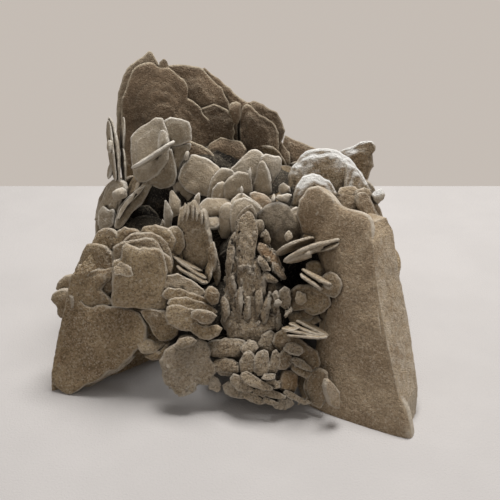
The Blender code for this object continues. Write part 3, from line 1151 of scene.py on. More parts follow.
@dataclass
class Depths:
    """How much daylight reaches each point between the crystals, for the shade that the finish paints there.
    """

    reach: float = 26.0  # a crystal further off than this hides nothing
    rays: int = 10
    cell: float = 1.9  # points this close that face the same way share one result
    lift: float = 0.4  # how far off the surface a ray starts
    seed: int = 5  # of the turn of each place's rays
    blur: int = 2  # passes that even the result out

    def directions(self) -> np.ndarray:
        """Rays spread over a half sphere round +Z, most of them near it.

        Returns:
            Their directions as an (n, 3) array.
        """
        k = np.arange(self.rays) + 0.5
        across = np.sqrt(k / self.rays)
        turn = k * math.pi * (3 - math.sqrt(5))
        return np.stack([across * np.cos(turn), across * np.sin(turn), np.sqrt(1 - across**2)], -1)

    def openness(self, tree: BVHTree, points: np.ndarray, normals: np.ndarray) -> np.ndarray:
        """Mean free length of rays from each point, as a share of the reach.

        Args:
            tree: every crystal's faces.
            points: where the rays start, in metres.
            normals: the way each point faces.

        Returns:
            A number from 0, closed in, to 1, in the open.
        """
        helper = np.where(np.abs(normals[:, 2:]) < 0.9, [[0.0, 0.0, 1.0]], [[1.0, 0.0, 0.0]])
        side = np.cross(helper, normals)
        side /= np.linalg.norm(side, axis=1)[:, None]
        third = np.cross(normals, side)
        spin = np.random.default_rng(self.seed).uniform(0, math.tau, len(points))
        cos, sin = np.cos(spin)[:, None], np.sin(spin)[:, None]
        side, third = side * cos + third * sin, third * cos - side * sin
        reach = self.reach * MM
        starts = (points + normals * self.lift * MM).tolist()
        total = np.zeros(len(points))
        for dx, dy, dz in self.directions():
            rays = (side * dx + third * dy + normals * dz).tolist()
            for i, (start, ray) in enumerate(zip(starts, rays)):
                length = tree.ray_cast(start, ray, reach)[3]
                total[i] += 1.0 if length is None else length / reach
        return total / self.rays

    def shade(self, pieces: Sequence[bpy.types.Object]) -> None:
        """Keep at each point of each piece how hollow its place is, which the finish paints as shade.

        Args:
            pieces: every piece of the rose.
        """
        skins = [Skin(piece.data) for piece in pieces]
        points = np.concatenate([skin.points for skin in skins])
        faces: Faces = []
        first = 0
        for piece, skin in zip(pieces, skins):
            corners = np.empty(len(piece.data.loops), np.int32)
            piece.data.loops.foreach_get("vertex_index", corners)
            corners = (corners + first).tolist()
            faces += [
                tuple(corners[p.loop_start : p.loop_start + p.loop_total]) for p in piece.data.polygons
            ]
            first += len(skin.points)
        tree = BVHTree.FromPolygons(points.tolist(), faces)
        normals = np.concatenate([skin.normals for skin in skins]).astype(float)
        keys = np.concatenate(
            [np.floor(points / (self.cell * MM)), np.floor(normals * 1.5 + 0.5)], axis=1
        ).astype(np.int64)
        _, pick, back = np.unique(keys, axis=0, return_index=True, return_inverse=True)
        hollow = 1 - self.openness(tree, points[pick], normals[pick])[back.ravel()]
        first = 0
        for skin in skins:
            values = hollow[first : first + len(skin.points)]
            for _ in range(self.blur):
                values = 0.5 * values + 0.5 * skin.gather(values) / np.maximum(skin.degree, 1)
            skin.write("hollow", values)
            first += len(skin.points)
        LOG.info("daylight: %d places", len(pick))


# --------------------------------------
# The clusters
# --------------------------------------

BLUNT = Outline.BLUNT
POINTED = Outline.POINTED
SLAB = Habit.SLAB
LENS = Habit.LENS
KNIFE = Habit.KNIFE


@dataclass
class RearFan(Cluster):
    """The tall fan of dark plates at the rear, with the lobes at its foot."""

    name: str = "rear_fan"
    finish: SandyFinish = DARK
    grower: Grower = Grower(11, swell=0.9, lump=0.3)
    plates: tuple[Plate, ...] = (
        Plate(-69, 76, 131, 12, 12, 5, (
            (-20, -16), (-18, 0), (-17, 10), (-16, 15), (-14, 20), (-12, 25), (-9, 30), (-4, 33), (-1, 35),
            (3, 37), (6, 40), (8, 38), (10, 34), (12, 30), (16, 23), (19, -5), (10, -34),
            (-16, -32)), pale=0.22),
        Plate(-55, 73, 126, 12, 12, 9, (
            (-30, -9), (-28, 7), (-27, 17), (-24, 23), (-22, 29), (-19, 35), (-15, 38), (-12, 39), (-8, 40),
            (-5, 39), (-2, 36), (1, 36), (5, 35), (8, 32), (11, 30), (14, 28), (16, 24), (16, 19), (15, 16),
            (19, 13), (23, 9), (25, 4), (30, -1), (33, -5), (37, -13), (35, -26), (23, -33), (-13, -31),
            (-27, -25)), steps=4),
        Plate(-35, 86, 128, 5, 14, 8, (
            (-24, 17), (-22, 31), (-15, 32), (-4, 32), (2, 31), (5, 29), (8, 25), (11, 22), (14, 19),
            (17, 17), (19, 12), (22, 5), (26, -7), (27, -24), (11, -34), (-19, -23)), steps=3),
        Plate(-16, 93, 124, 0, 12, 5, (
            (-20, 11), (-19, 29), (-15, 34), (-11, 30), (-5, 26), (-1, 22), (3, 19), (5, 16), (9, 13),
            (14, 10), (17, 10), (23, 1), (24, -23), (-15, -23)), steps=3),
        Plate(-22, 78, 119, 0, 14, 6, (
            (-11, 15), (-2, 18), (6, 15), (13, 8), (11, 3), (12, -1), (11, -6), (13, -14), (-1, -19),
            (-14, -7)), steps=3),
        Plate(-10, 74, 133, 0, 10, 8, (
            (-4, 0), (-4, 4), (-2, 6), (1, 7), (4, 6), (4, 2), (4, -3), (2, -8), (-1, -7)), LENS),
        Plate(5, 81, 115, -5, 14, 9, (
            (-12, 10), (-11, 18), (-8, 21), (-5, 20), (-2, 17), (1, 14), (6, 12), (10, 9), (12, 6), (14, 2),
            (14, -2), (15, -10), (7, -17), (-5, -16), (-11, -10), (-12, 0)), steps=3),
        Plate(11, 91, 119, -8, 14, 6, (
            (-13, 4), (-13, 13), (-10, 16), (-3, 14), (2, 11), (7, 9), (10, 4), (13, -3), (12, -8), (9, -16),
            (-5, -14))),
        Plate(-17, 69, 107, -8, 22, 8, (
            (-15, -2), (-10, 6), (-3, 10), (4, 9), (11, 8), (15, 3), (13, -4), (7, -8), (-5, -11)), steps=3),
        Plate(20, 87, 97, -10, 18, 6, (
            (-8, 4), (-3, 11), (1, 11), (4, 7), (7, 4), (8, -1), (8, -6), (0, -10), (-7, -6))),
        Plate(36, 91, 94, -8, 26, 8, (
            (-15, 6), (-13, 17), (-7, 14), (-1, 12), (4, 10), (10, 8), (16, 4), (19, -4), (13, -12),
            (-5, -12), (-14, -5))),
        Plate(-55, 82, 160, 20, 10, 3, ((-4, -2), (-3, 4), (0, 6), (2, 4), (3, 1), (3, -4), (-1, -6)), KNIFE),
    )
    leaves: tuple[Leaf, ...] = (
        Leaf(-40, 60, 107, -25, -20, 39, 22, 9, BLUNT),
    )


@dataclass
class LeftLeaves(Cluster):
    """The pale plates and edge-on leaves at the left of the fan."""

    name: str = "left_leaves"
    finish: SandyFinish = PALE
    grower: Grower = Grower(23, swell=0.4, lump=0.12, grit=0.08)
    plates: tuple[Plate, ...] = (
        Plate(-86, 30, 87, -22, 18, 7, (
            (-2, 15), (-5, 9), (-7, 2), (-9, -2), (-10, -7), (-12, -12), (-9, -12), (-7, -17), (-3, -18),
            (3, -16), (4, -12), (5, -5), (7, 2), (10, 11), (8, 16), (2, 18)), SLAB, ragged=0.03),
        Plate(-89, 23, 80, -15, 20, 4, (
            (-6, -4), (-6, 4), (-3, 8), (1, 6), (4, 7), (5, 4), (5, -3), (1, -7),
            (-4, -7)), SLAB, ragged=0.04, pale=0.08),
        Plate(-79, 21, 98, 0, 25, 7, (
            (-5, -2), (-5, 1), (-2, 3), (1, 4), (4, 2), (4, -2), (0, -4), (-4, -4)), LENS),
        Plate(-72, 24, 91, 15, 36, 4, (
            (15, 16), (15, 12), (12, 8), (9, 3), (5, -2), (-1, -6), (-6, -12), (-10, -16), (-14, -15),
            (-12, -9), (-9, -2), (-5, 2), (-1, 5), (5, 9), (10, 13)), SLAB, ragged=0.02),
        Plate(-75, 19, 92, 15, 38, 3, (
            (13, 11), (10, 7), (5, 3), (0, -1), (-4, -6), (-7, -11), (-8, -9), (-5, -3), (-1, 2), (4, 5),
            (9, 9)), SLAB, steps=1, ragged=0.03, pale=0.08),
        Plate(-62, 38, 120, -6, 20, 4, (
            (-12, -1), (-12, 7), (-10, 10), (-6, 14), (-1, 17), (3, 20), (5, 20), (8, 20), (9, 17), (11, 13),
            (12, 10), (13, 4), (12, -6), (6, -15), (-2, -20), (-7, -21), (-10, -16), (-11, -10)), pale=0.06),
        Plate(-53, 34, 128, -6, 22, 3, (
            (-3, -6), (-3, 1), (-2, 5), (0, 6), (2, 5), (3, 2), (4, -1), (2, -4)), LENS, pale=0.25),
        Plate(-46, 43, 130, 4, 14, 4, (
            (-9, -3), (-7, 7), (-3, 9), (3, 8), (9, 6), (10, 2), (10, -5), (8, -6), (4, -8), (0, -9),
            (-7, -9))),
        Plate(-47, 40, 113, 8, 12, 4, (
            (-5, 7), (-1, 9), (11, 10), (10, 6), (7, 3), (6, 0), (4, -3), (2, -8), (1, -15), (-3, -13),
            (-8, -4))),
        Plate(-57, 35, 109, 2, 12, 4, (
            (-12, 3), (-14, -1), (-11, -8), (-8, -10), (-4, -11), (1, -13), (6, -12), (10, -10), (12, -5),
            (11, 3), (9, 12), (2, 12), (-6, 9)), SLAB, ragged=0.012),
        Plate(-49, 8, 89, 20, 10, 3, (
            (-1, 11), (0, 9), (2, 5), (3, 1), (2, -4), (1, -8), (-3, -8), (-3, 1),
            (-2, 7)), KNIFE, pale=0.25),
        Plate(-53, 10, 82, 5, 10, 3, ((-3, -3), (-1, 1), (0, 4), (2, 1), (2, -3)), KNIFE),
        Plate(-65, 20, 72, 0, 34, 5, ((-8, -3), (-7, 2), (-3, 4), (2, 5), (6, 3), (8, -3)), LENS),
    )
    leaves: tuple[Leaf, ...] = (
        Leaf(-84, 42, 119, 98, 68, 41, 16, 4),
        Leaf(-86, 40, 119, 97, 68, 37, 14, 3),
        Leaf(-80, 50, 125, 88, 72, 23, 13, 3),
        Leaf(-79, 40, 109, 94, 72, 23, 13, 3),
        Leaf(-86, 36, 123, 90, 62, 8, 6, 3),
        Leaf(-87, 36, 107, 80, 66, 11, 7, 3),
        Leaf(-58, 25, 121, 33, 84, 30, 20, 3, pale=0.3, habit=SLAB),
        Leaf(-39, 36, 117, 75, 10, 6, 3, 4, pale=0.2),
    )


@dataclass
class CentreDiscs(Cluster):
    """The crowd of rounded discs in the middle."""

    name: str = "centre_discs"
    finish: SandyFinish = DISC
    grower: Grower = Grower(31, swell=0.35, lump=0.15, grit=0.1)
    plates: tuple[Plate, ...] = (
        Plate(-30, 33, 104, -3, 22, 5, (
            (-7, 14), (-4, 14), (-1, 13), (3, 12), (6, 10), (10, 7), (14, 3), (15, -3), (13, -9), (5, -12),
            (-4, -11), (-9, -9), (-11, -7), (-13, -5), (-15, -1), (-14, 2), (-13, 5), (-11, 8),
            (-9, 10)), ragged=0.012),
        Plate(-35, 31, 100, -3, 22, 4, (
            (-6, 1), (-6, 5), (-3, 7), (0, 7), (4, 5), (7, 1), (7, -5), (2, -7), (-3, -5),
            (-6, -3)), LENS, steps=1, ragged=0.01),
        Plate(-40, 36, 95, 0, 30, 5, (
            (-9, 3), (-8, -1), (-6, -3), (-4, -6), (0, -8), (4, -8), (7, -6), (9, 0), (2, 7), (-6, 7))),
        Plate(-46, 18, 91, 15, 20, 4, (
            (-3, 4), (-2, 9), (0, 10), (2, 6), (4, 3), (4, -5), (-2, -7), (-5, -2)), KNIFE),
        Plate(-32, 15, 96, 0, 15, 3, ((-2, -4), (-2, 1), (-1, 3), (1, 5), (2, 4), (2, 1), (1, -5)), KNIFE),
        Plate(-17, 27, 100, -10, 14, 5, (
            (-10, -9), (-9, -3), (-8, 2), (-7, 5), (-5, 8), (-2, 11), (-1, 12), (2, 12), (6, 11), (10, 6),
            (10, -5), (2, -11), (-6, -13)), ragged=0.012),
        Plate(-18, 20, 98, -8, 12, 4, (
            (-6, -4), (-5, 3), (-2, 7), (1, 8), (3, 7), (5, 1), (2, -6), (-4, -8)), ragged=0.012, steps=1),
        Plate(-7, 19, 102, 4, 12, 5, (
            (-9, -6), (-9, 3), (-6, 7), (-4, 8), (-2, 10), (0, 11), (4, 10), (7, 9), (8, 5), (9, -2), (5, -8),
            (-4, -9)), ragged=0.012),
        Plate(-1, 34, 108, -2, 18, 5, (
            (-13, -4), (-11, 1), (-7, 5), (-3, 9), (0, 12), (2, 13), (5, 13), (7, 12), (10, 9), (11, 0),
            (6, -10), (-5, -11)), ragged=0.015, pale=0.12),
        Plate(11, 27, 110, 12, 14, 5, (
            (-6, -6), (-5, 5), (-4, 10), (-1, 11), (2, 10), (5, 9), (7, 9), (9, 7), (9, 3), (8, 0), (5, -3),
            (3, -6), (0, -11), (-4, -12)), ragged=0.02, pale=0.2),
        Plate(8, 22, 105, -18, 8, 5, (
            (-7, -10), (-6, -1), (-4, 5), (-4, 9), (-3, 12), (-1, 14), (1, 12), (3, 8), (5, 2), (6, -6),
            (1, -10)), ragged=0.015),
        Plate(7, 12, 95, 8, 20, 5, (
            (-7, 4), (-7, 7), (-4, 8), (-1, 7), (2, 6), (5, 3), (7, 1), (8, -4), (2, -7),
            (-5, -5)), rust=0.6),
        Plate(-2, 8, 93, 3, 20, 7, (
            (-10, 3), (-9, 6), (-7, 8), (-5, 10), (-2, 10), (1, 8), (4, 6), (7, 4), (11, -1), (9, -7),
            (-1, -8), (-9, -3)), LENS, ragged=0.015),
        Plate(-3, 4, 90, 2, 16, 8, (
            (-9, -4), (-9, 4), (-7, 9), (-4, 11), (0, 12), (3, 11), (5, 10), (8, 7), (11, 4), (11, -6),
            (2, -12), (-8, -10)), LENS, ragged=0.012),
        Plate(-14, 6, 86, -8, 12, 8, (
            (-5, -6), (-5, 6), (-4, 9), (-2, 11), (0, 12), (2, 12), (4, 9), (5, -5), (2, -11),
            (-3, -11)), LENS, ragged=0.015),
        Plate(-21, 13, 91, 0, 38, 10, (
            (-12, -1), (-10, 3), (-8, 5), (-5, 7), (-2, 7), (2, 7), (7, 7), (10, 5), (13, 0), (9, -5),
            (-2, -6), (-9, -6)), LENS),
        Plate(-23, 5, 85, 0, 50, 4, ((-6, 2), (-4, 4), (3, 5), (6, 2), (4, -3), (-3, -4)), SLAB),
        # this disc, overhung by the crystals in front of it, is darkened as painted shade
        Plate(16, -3, 86, 2, 14, 11, (
            (-14, 2), (-13, 8), (-10, 11), (-7, 14), (-4, 15), (0, 16), (3, 15), (7, 13), (10, 9), (13, 5),
            (14, 2), (14, -5), (11, -13), (0, -17), (-8, -12),
            (-13, -6)), LENS, ragged=0.012, steps=1, soil_and_shade=0.85),
        Plate(29, 4, 92, 5, 18, 6, (
            (-8, -1), (-6, 4), (-4, 6), (-2, 7), (1, 7), (4, 6), (6, 4), (8, -1), (4, -8),
            (-4, -7)), LENS, ragged=0.012),
        Plate(29, -2, 89, 5, 14, 7, (
            (-7, 1), (-6, 7), (-4, 9), (-2, 10), (1, 9), (4, 7), (6, 5), (7, 2), (8, -5), (4, -11),
            (-3, -10)), LENS, ragged=0.012),
        Plate(20, 7, 101, 0, 25, 6, (
            (-5, 0), (-4, 2), (-1, 2), (2, 3), (5, 2), (4, -1), (2, -3), (-2, -3)), pale=0.12, ragged=0.06),
        Plate(21, 14, 103, 0, 10, 4, ((-4, 0), (-4, 3), (-1, 5), (3, 2), (4, -3), (-1, -4)), KNIFE),
    )
    leaves: tuple[Leaf, ...] = (
        Leaf(0, 17, 113, 88, 20, 7, 2, 3, POINTED, pale=0.3),
        Leaf(-5, 10, 105, 88, 20, 5, 2, 3, POINTED, pale=0.3),
        Leaf(14, 7, 100, 88, 15, 7, 3, 3, POINTED, pale=0.2),
    )


@dataclass
class RightCaps(Cluster):
    """The white-capped crystals on top of the prow, and the wing behind them."""

    name: str = "right_caps"
    finish: SandyFinish = CAPPED
    grower: Grower = Grower(43, swell=0.5, lump=0.2)
    plates: tuple[Plate, ...] = (
        Plate(48, 26, 105, -6, 22, 13, (
            (-24, -8), (-25, 1), (-23, 7), (-20, 10), (-18, 14), (-15, 17), (-12, 18), (-7, 19), (-1, 19),
            (4, 18), (8, 16), (12, 14), (15, 11), (17, 8), (20, 5), (22, 2), (25, -3), (26, -9), (19, -16),
            (2, -18), (-15, -15)), ragged=0.012),
        Plate(68, 16, 96, 28, 24, 6, (
            (-12, 8), (-6, 23), (-1, 20), (1, 16), (3, 12), (5, 8), (7, 5), (8, 0), (9, -4), (11, -8),
            (12, -14), (10, -22), (3, -20), (-6, -8))),
        Plate(38, 9, 102, -4, 22, 10, (
            (-14, -8), (-13, -3), (-12, 1), (-11, 5), (-9, 8), (-7, 11), (-4, 12), (-1, 13), (3, 12), (6, 10),
            (9, 9), (11, 6), (14, 1), (13, -7), (0, -12)), ragged=0.012),
        Plate(68, 48, 108, -8, 16, 5, (
            (-13, 1), (-12, 6), (-7, 9), (-2, 11), (1, 13), (5, 14), (9, 14), (11, 11), (11, 8), (9, 6),
            (10, 2), (11, -2), (9, -5), (8, -8), (6, -13), (-3, -14), (-9, -7)), steps=3, ragged=0.03),
        Plate(75, 3, 104, 25, 25, 6, (
            (-4, 1), (-2, 3), (1, 4), (3, 4), (4, 2), (5, 0), (2, -3), (-1, -5), (-4, -2)), LENS, pale=0.5),
    )


@dataclass
class Prow(Cluster):
    """The big prow crystal on the right, and the small plates on its crest."""

    name: str = "prow"
    finish: SandyFinish = PROW_FACE
    grower: Grower = Grower(53, swell=0.7, lump=0.2)
    blocks: tuple[Block, ...] = (
        Block((
            (-4, ((32, -53), (84, -88), (94, -68), (97, -42), (52, -6))),
            (14, ((36, -49), (82, -80), (95, -60), (96, -38), (52, 0))),
            (44, ((40, -37), (75, -61), (91, -38), (88, -8), (52, 14))),
            (70, ((41, -24), (70, -44), (85, -24), (80, 4), (52, 20))),
            (90, ((42, -12), (68, -30), (82, -14), (74, 4), (50, 14))),
            (97, ((44, -5), (66, -20), (78, -12), (68, -4), (46, 3))),
        )),
    )  # fmt: skip
    plates: tuple[Plate, ...] = (
        Plate(39, -8, 98, -10, 20, 9, (
            (-12, -2), (-11, 7), (-9, 10), (-7, 14), (-4, 15), (-1, 16), (1, 15), (4, 13), (7, 11), (9, 8),
            (11, 5), (13, -7), (3, -15), (-8, -12)), ragged=0.012, steps=1),
        Plate(58, -44, 44, -31, 25, 12, (
            (-47, 59), (-46, 64), (-45, 67), (-44, 70), (-41, 72), (-38, 73), (-35, 72), (-32, 71), (-29, 70),
            (-26, 67), (-24, 65), (-18, 64), (-13, 64), (-9, 64), (-5, 63), (-2, 59), (1, 50), (6, 37),
            (13, 19), (22, -4), (31, -21), (38, -30), (43, -37), (49, -50), (46, -51), (41, -53), (19, -54),
            (2, -53), (-16, -51), (-24, -42), (-19, -26), (-16, -10), (-16, 5), (-17, 19), (-27, 34),
            (-39, 45)), SLAB, steps=1, ragged=0.006),
        Plate(60, 4, 97, -8, 28, 7, (
            (-11, 0), (-9, 7), (-7, 9), (-4, 9), (-1, 9), (3, 8), (6, 7), (9, 5), (11, 3), (12, -2), (8, -8),
            (-1, -9), (-8, -6))),
        Plate(58, 8, 105, -5, 40, 4, ((-7, -3), (-5, 2), (0, 3), (4, 3), (7, 0), (2, -4))),
        Plate(70, 1, 97, 38, 26, 4, (
            (-9, 7), (-7, 13), (-4, 13), (0, 13), (3, 11), (4, 8), (6, 3), (8, -2), (8, -7), (6, -15),
            (0, -14), (-6, -4))),
        Plate(69, -4, 96, 34, 26, 4, (
            (-7, 7), (-5, 13), (-2, 13), (1, 12), (3, 8), (5, 4), (6, -1), (8, -6), (6, -14), (1, -12),
            (-4, -2))),
    )


@dataclass
class Wedge(Cluster):
    """The wedge crystal on the left, its bumpy crest and the rough plates in front of it."""

    name: str = "wedge"
    finish: SandyFinish = BROWN
    grower: Grower = Grower(61, swell=0.8, lump=0.3)
    blocks: tuple[Block, ...] = (
        Block((
            (-4, ((-117, -46), (-84, -31), (-66, -16), (-62, 10), (-98, 0))),
            (12, ((-116, -44), (-71, -23), (-50, -10), (-55, 18), (-100, 4))),
            (46, ((-108, -35), (-52, -9), (-42, 4), (-52, 24), (-98, 4))),
            (68, ((-102, -28), (-47, -5), (-41, 8), (-50, 24), (-95, 2))),
            (76, ((-93, -19), (-48, 0), (-44, 8), (-52, 16), (-88, -2))),
        )),
    )  # fmt: skip
    plates: tuple[Plate, ...] = (
        Plate(-85, -11, 79, -12, 20, 6, (
            (-11, -11), (-10, -5), (-7, 1), (-6, 6), (-3, 9), (1, 10), (5, 10), (8, 8), (10, 3), (7, -3),
            (-1, -10)), SLAB, ragged=0.03),
        Plate(-72, -11, 83, -3, 20, 6, (
            (-10, -4), (-7, 2), (-5, 5), (-1, 7), (4, 6), (7, 5), (9, 0), (5, -6),
            (-4, -7)), SLAB, ragged=0.04),
        Plate(-55, -10, 82, 0, 20, 6, (
            (-12, -1), (-10, 4), (-7, 7), (-4, 8), (0, 9), (3, 8), (7, 7), (10, 5), (12, 0), (10, -7),
            (-2, -8), (-10, -6)), SLAB, ragged=0.03),
        Plate(-44, -8, 81, 6, 20, 6, (
            (-6, 0), (-4, 7), (-1, 8), (2, 8), (5, 5), (6, -4), (2, -10), (-4, -7)), SLAB, ragged=0.03),
        Plate(-61, -18, 76, 10, 22, 5, (
            (-16, -3), (-17, 3), (-14, 7), (-10, 11), (-6, 13), (0, 13), (6, 13), (10, 10), (14, 6), (16, 0),
            (17, -7), (12, -13), (-9, -13)), SLAB, ragged=0.03, pale=0.05),
        Plate(-62, -26, 74, 10, 20, 5, (
            (-16, -2), (-15, 6), (-15, 11), (-10, 14), (-6, 14), (0, 15), (4, 16), (8, 15), (11, 11), (13, 6),
            (17, 3), (18, -3), (15, -12), (4, -15), (-14, -11)), SLAB, ragged=0.03, pale=0.08),
        Plate(-62, -33, 68, 10, 17, 6, (
            (-15, 10), (-14, 12), (-10, 13), (-9, 17), (-9, 20), (-6, 22), (-3, 20), (1, 18), (3, 19),
            (6, 18), (9, 18), (12, 17), (14, 14), (15, 10), (16, 4), (15, -3), (15, -8), (15, -12), (13, -18),
            (10, -18), (5, -17), (0, -17), (-4, -16), (-9, -16), (-13, -15), (-17, -14), (-17, -9), (-16, -5),
            (-16, 0), (-15, 6)), SLAB, ragged=0.016),
        Plate(-70, -39, 77, 12, 30, 3, (
            (-6, 2), (-3, 4), (-1, 5), (3, 3), (5, 1), (5, -3), (2, -4), (-2, -2),
            (-5, -2)), SLAB, steps=1, ragged=0.06, pale=0.12),
        Plate(-50, -40, 44, -2, 15, 6, (
            (-13, 7), (-8, 9), (-2, 8), (2, 8), (6, 6), (9, 2), (10, -2), (9, -7), (6, -10), (2, -11),
            (-1, -11), (-5, -7), (-8, -1), (-11, 3)), SLAB, ragged=0.02),
        Plate(-90, -19, 66, -14, 20, 6, (
            (-13, -9), (-13, -2), (-10, 6), (-8, 12), (-6, 16), (-1, 17), (6, 16), (11, 11), (13, 1),
            (13, -9), (6, -16), (-7, -16)), SLAB, ragged=0.03),
        Plate(-96, -22, 68, -12, 32, 4, (
            (-4, -2), (-4, 3), (-1, 4), (2, 3), (5, 0), (3, -3)), LENS, steps=1, pale=0.08),
        Plate(-91, -25, 58, -12, 20, 6, (
            (-13, -9), (-12, 1), (-10, 8), (-6, 10), (-2, 10), (3, 12), (8, 12), (11, 14), (13, 8), (8, 4),
            (6, 0), (10, -4), (14, -8), (4, -11), (-5, -13)), SLAB, ragged=0.016),
        Plate(-107, -21, 58, -20, 14, 6, (
            (-7, -4), (-6, 0), (-4, 3), (-2, 5), (2, 7), (6, 6), (7, -1),
            (1, -6)), SLAB, ragged=0.03, pale=0.06),
        Plate(-108, -28, 50, -22, 10, 6, (
            (-8, 1), (-7, 5), (-3, 8), (3, 9), (7, 6), (7, -1), (3, -8), (-1, -10), (-4, -8),
            (-4, -4)), SLAB, ragged=0.03),
        Plate(-89, -39, 29, -12, 22, 6, (
            (-22, -7), (-20, 3), (-18, 14), (-17, 21), (-15, 26), (-12, 26), (-9, 22), (-4, 21), (-1, 23),
            (3, 24), (7, 23), (13, 24), (21, 23), (26, 21), (30, 14), (30, 6), (28, 2), (24, -1), (21, -6),
            (17, -10), (14, -14), (9, -15), (5, -20), (0, -23), (-5, -25), (-9, -29), (-15, -33), (-19, -32),
            (-22, -30), (-26, -27)), SLAB, steps=1, ragged=0.012),
        Plate(-91, -38, 5, -12, 22, 6, (
            (-17, -15), (-23, -13), (-27, -10), (-22, -8), (-14, -7), (-7, -3), (1, 2), (8, 6), (15, 14),
            (22, 19), (25, 18), (21, 12), (14, 5), (7, 1), (-1, -5),
            (-11, -12)), pale=0.42, steps=1, ragged=0.04),
        Plate(-58, -44, 31, 10, 35, 4, (
            (-7, 1), (-6, 4), (-2, 5), (2, 3), (5, 1), (9, 1), (11, 0), (6, -3), (2, -5), (-2, -5),
            (-5, -4)), SLAB, pale=0.1),
        Plate(-63, -40, 38, 0, 12, 4, (
            (-3, 2), (-3, 4), (0, 5), (2, 1), (5, -3), (2, -5), (-1, -3)), LENS, pale=0.1),
        Plate(-52, -46, 27, 0, 30, 4, (
            (-9, -2), (-4, 1), (1, 2), (5, 7), (6, 6), (5, 1), (1, -4), (-5, -4)), LENS),
    )


@dataclass
class LeftRibs(Cluster):
    """The ribbed stack and the feathered plate at the left of the hollow."""

    name: str = "left_ribs"
    finish: SandyFinish = BROWN
    grower: Grower = Grower(67, swell=0.4, lump=0.2)
    plates: tuple[Plate, ...] = (
        Plate(-32, -5, 82, -10, 14, 8, (
            (-11, 0), (-11, 8), (-10, 13), (-10, 16), (-8, 18), (-6, 19), (-6, 18), (-4, 20), (-3, 20),
            (-2, 22), (-1, 21), (0, 20), (1, 17), (2, 15), (4, 17), (6, 15), (7, 11), (8, 5), (10, 2),
            (10, -4), (10, -16), (4, -21), (-3, -20), (-7, -12),
            (-9, -6)), SLAB, steps=1, ragged=0.03, pale=0.1),
        Plate(-38, -32, 63, 4, 26, 3, (
            (-12, 0), (-12, 4), (-10, 7), (-7, 7), (-3, 8), (0, 6), (4, 4), (7, 2), (12, -2), (14, -6),
            (9, -8), (-2, -6)), SLAB, steps=1, ragged=0.03, pale=0.2),
        Plate(-36, -37, 58, 4, 24, 3, (
            (-14, 2), (-13, 5), (-10, 7), (-7, 6), (-3, 6), (1, 4), (4, 3), (9, 1), (14, -2), (15, -6),
            (8, -7), (-5, -4)), SLAB, steps=1, ragged=0.03),
        Plate(-33, -41, 55, 4, 24, 3, (
            (-14, 2), (-12, 5), (-9, 6), (-3, 6), (2, 4), (8, 2), (13, -1), (15, -4), (8, -6),
            (-4, -3)), SLAB, steps=1, ragged=0.03),
        Plate(-36, -45, 50, 2, 26, 3, (
            (-12, 1), (-11, 7), (-8, 8), (-4, 8), (1, 6), (7, 4), (12, 2), (15, -3), (8, -8), (-3, -7),
            (-10, -3)), SLAB, steps=1, ragged=0.03, pale=0.04),
        Plate(-26, -48, 53, -8, 24, 4, (
            (-7, -1), (-7, 2), (-4, 4), (0, 4), (5, 3), (8, 1), (6, -2), (3, -4), (-2, -4),
            (-4, -2)), SLAB, pale=0.04, ragged=0.03),
        Plate(-25, -49, 44, -5, 30, 4, (
            (-9, 0), (-9, 4), (-6, 5), (-2, 3), (2, 3), (6, 4), (10, 2), (8, -2), (2, -5),
            (-4, -4)), SLAB, ragged=0.04),
        Plate(-22, -38, 61, 5, 24, 5, (
            (-4, -1), (-3, 3), (-1, 5), (1, 5), (4, 3), (5, 0), (4, -5), (0, -6)), LENS, steps=1),
        Plate(-35, -44, 35, 0, 30, 4, (
            (-7, -1), (-5, 2), (-1, 3), (3, 2), (6, -1), (3, -3), (-3, -3)), LENS, steps=1),
    )
    leaves: tuple[Leaf, ...] = (
        Leaf(-40, -8, 96, 74, 40, 12, 3, 2, POINTED, pale=0.12),
        Leaf(-38, -9, 99, 80, 45, 11, 3, 2, POINTED, pale=0.16),
        Leaf(-36, -9, 99, 84, 45, 11, 3, 2, POINTED, pale=0.2),
        Leaf(-33, -9, 100, 90, 45, 11, 3, 2, POINTED, pale=0.2),
        Leaf(-31, -9, 98, 94, 45, 9, 3, 2, POINTED, pale=0.16),
        Leaf(-28, -9, 96, 90, 45, 9, 3, 2, POINTED, pale=0.1),
        Leaf(-26, -9, 93, 94, 40, 10, 3, 2, POINTED, pale=0.1),
        Leaf(-22, -14, 73, 92, 35, 18, 7, 4, ragged=0.08),
        Leaf(-20, -12, 64, 95, 50, 20, 6, 4, ragged=0.08),
        Leaf(-24, -18, 65, 80, 40, 14, 6, 3, ragged=0.08),
        Leaf(-37, -16, 69, -27, 83, 21, 9, 2, pale=0.1, habit=SLAB),
        Leaf(-34, -19, 67, -33, 83, 21, 9, 2, pale=0.05, habit=SLAB),
        Leaf(-36, -22, 66, -34, 83, 16, 8, 2, pale=0.1, habit=SLAB),
        Leaf(-31, -22, 64, -36, 70, 15, 8, 2, habit=SLAB),
    )


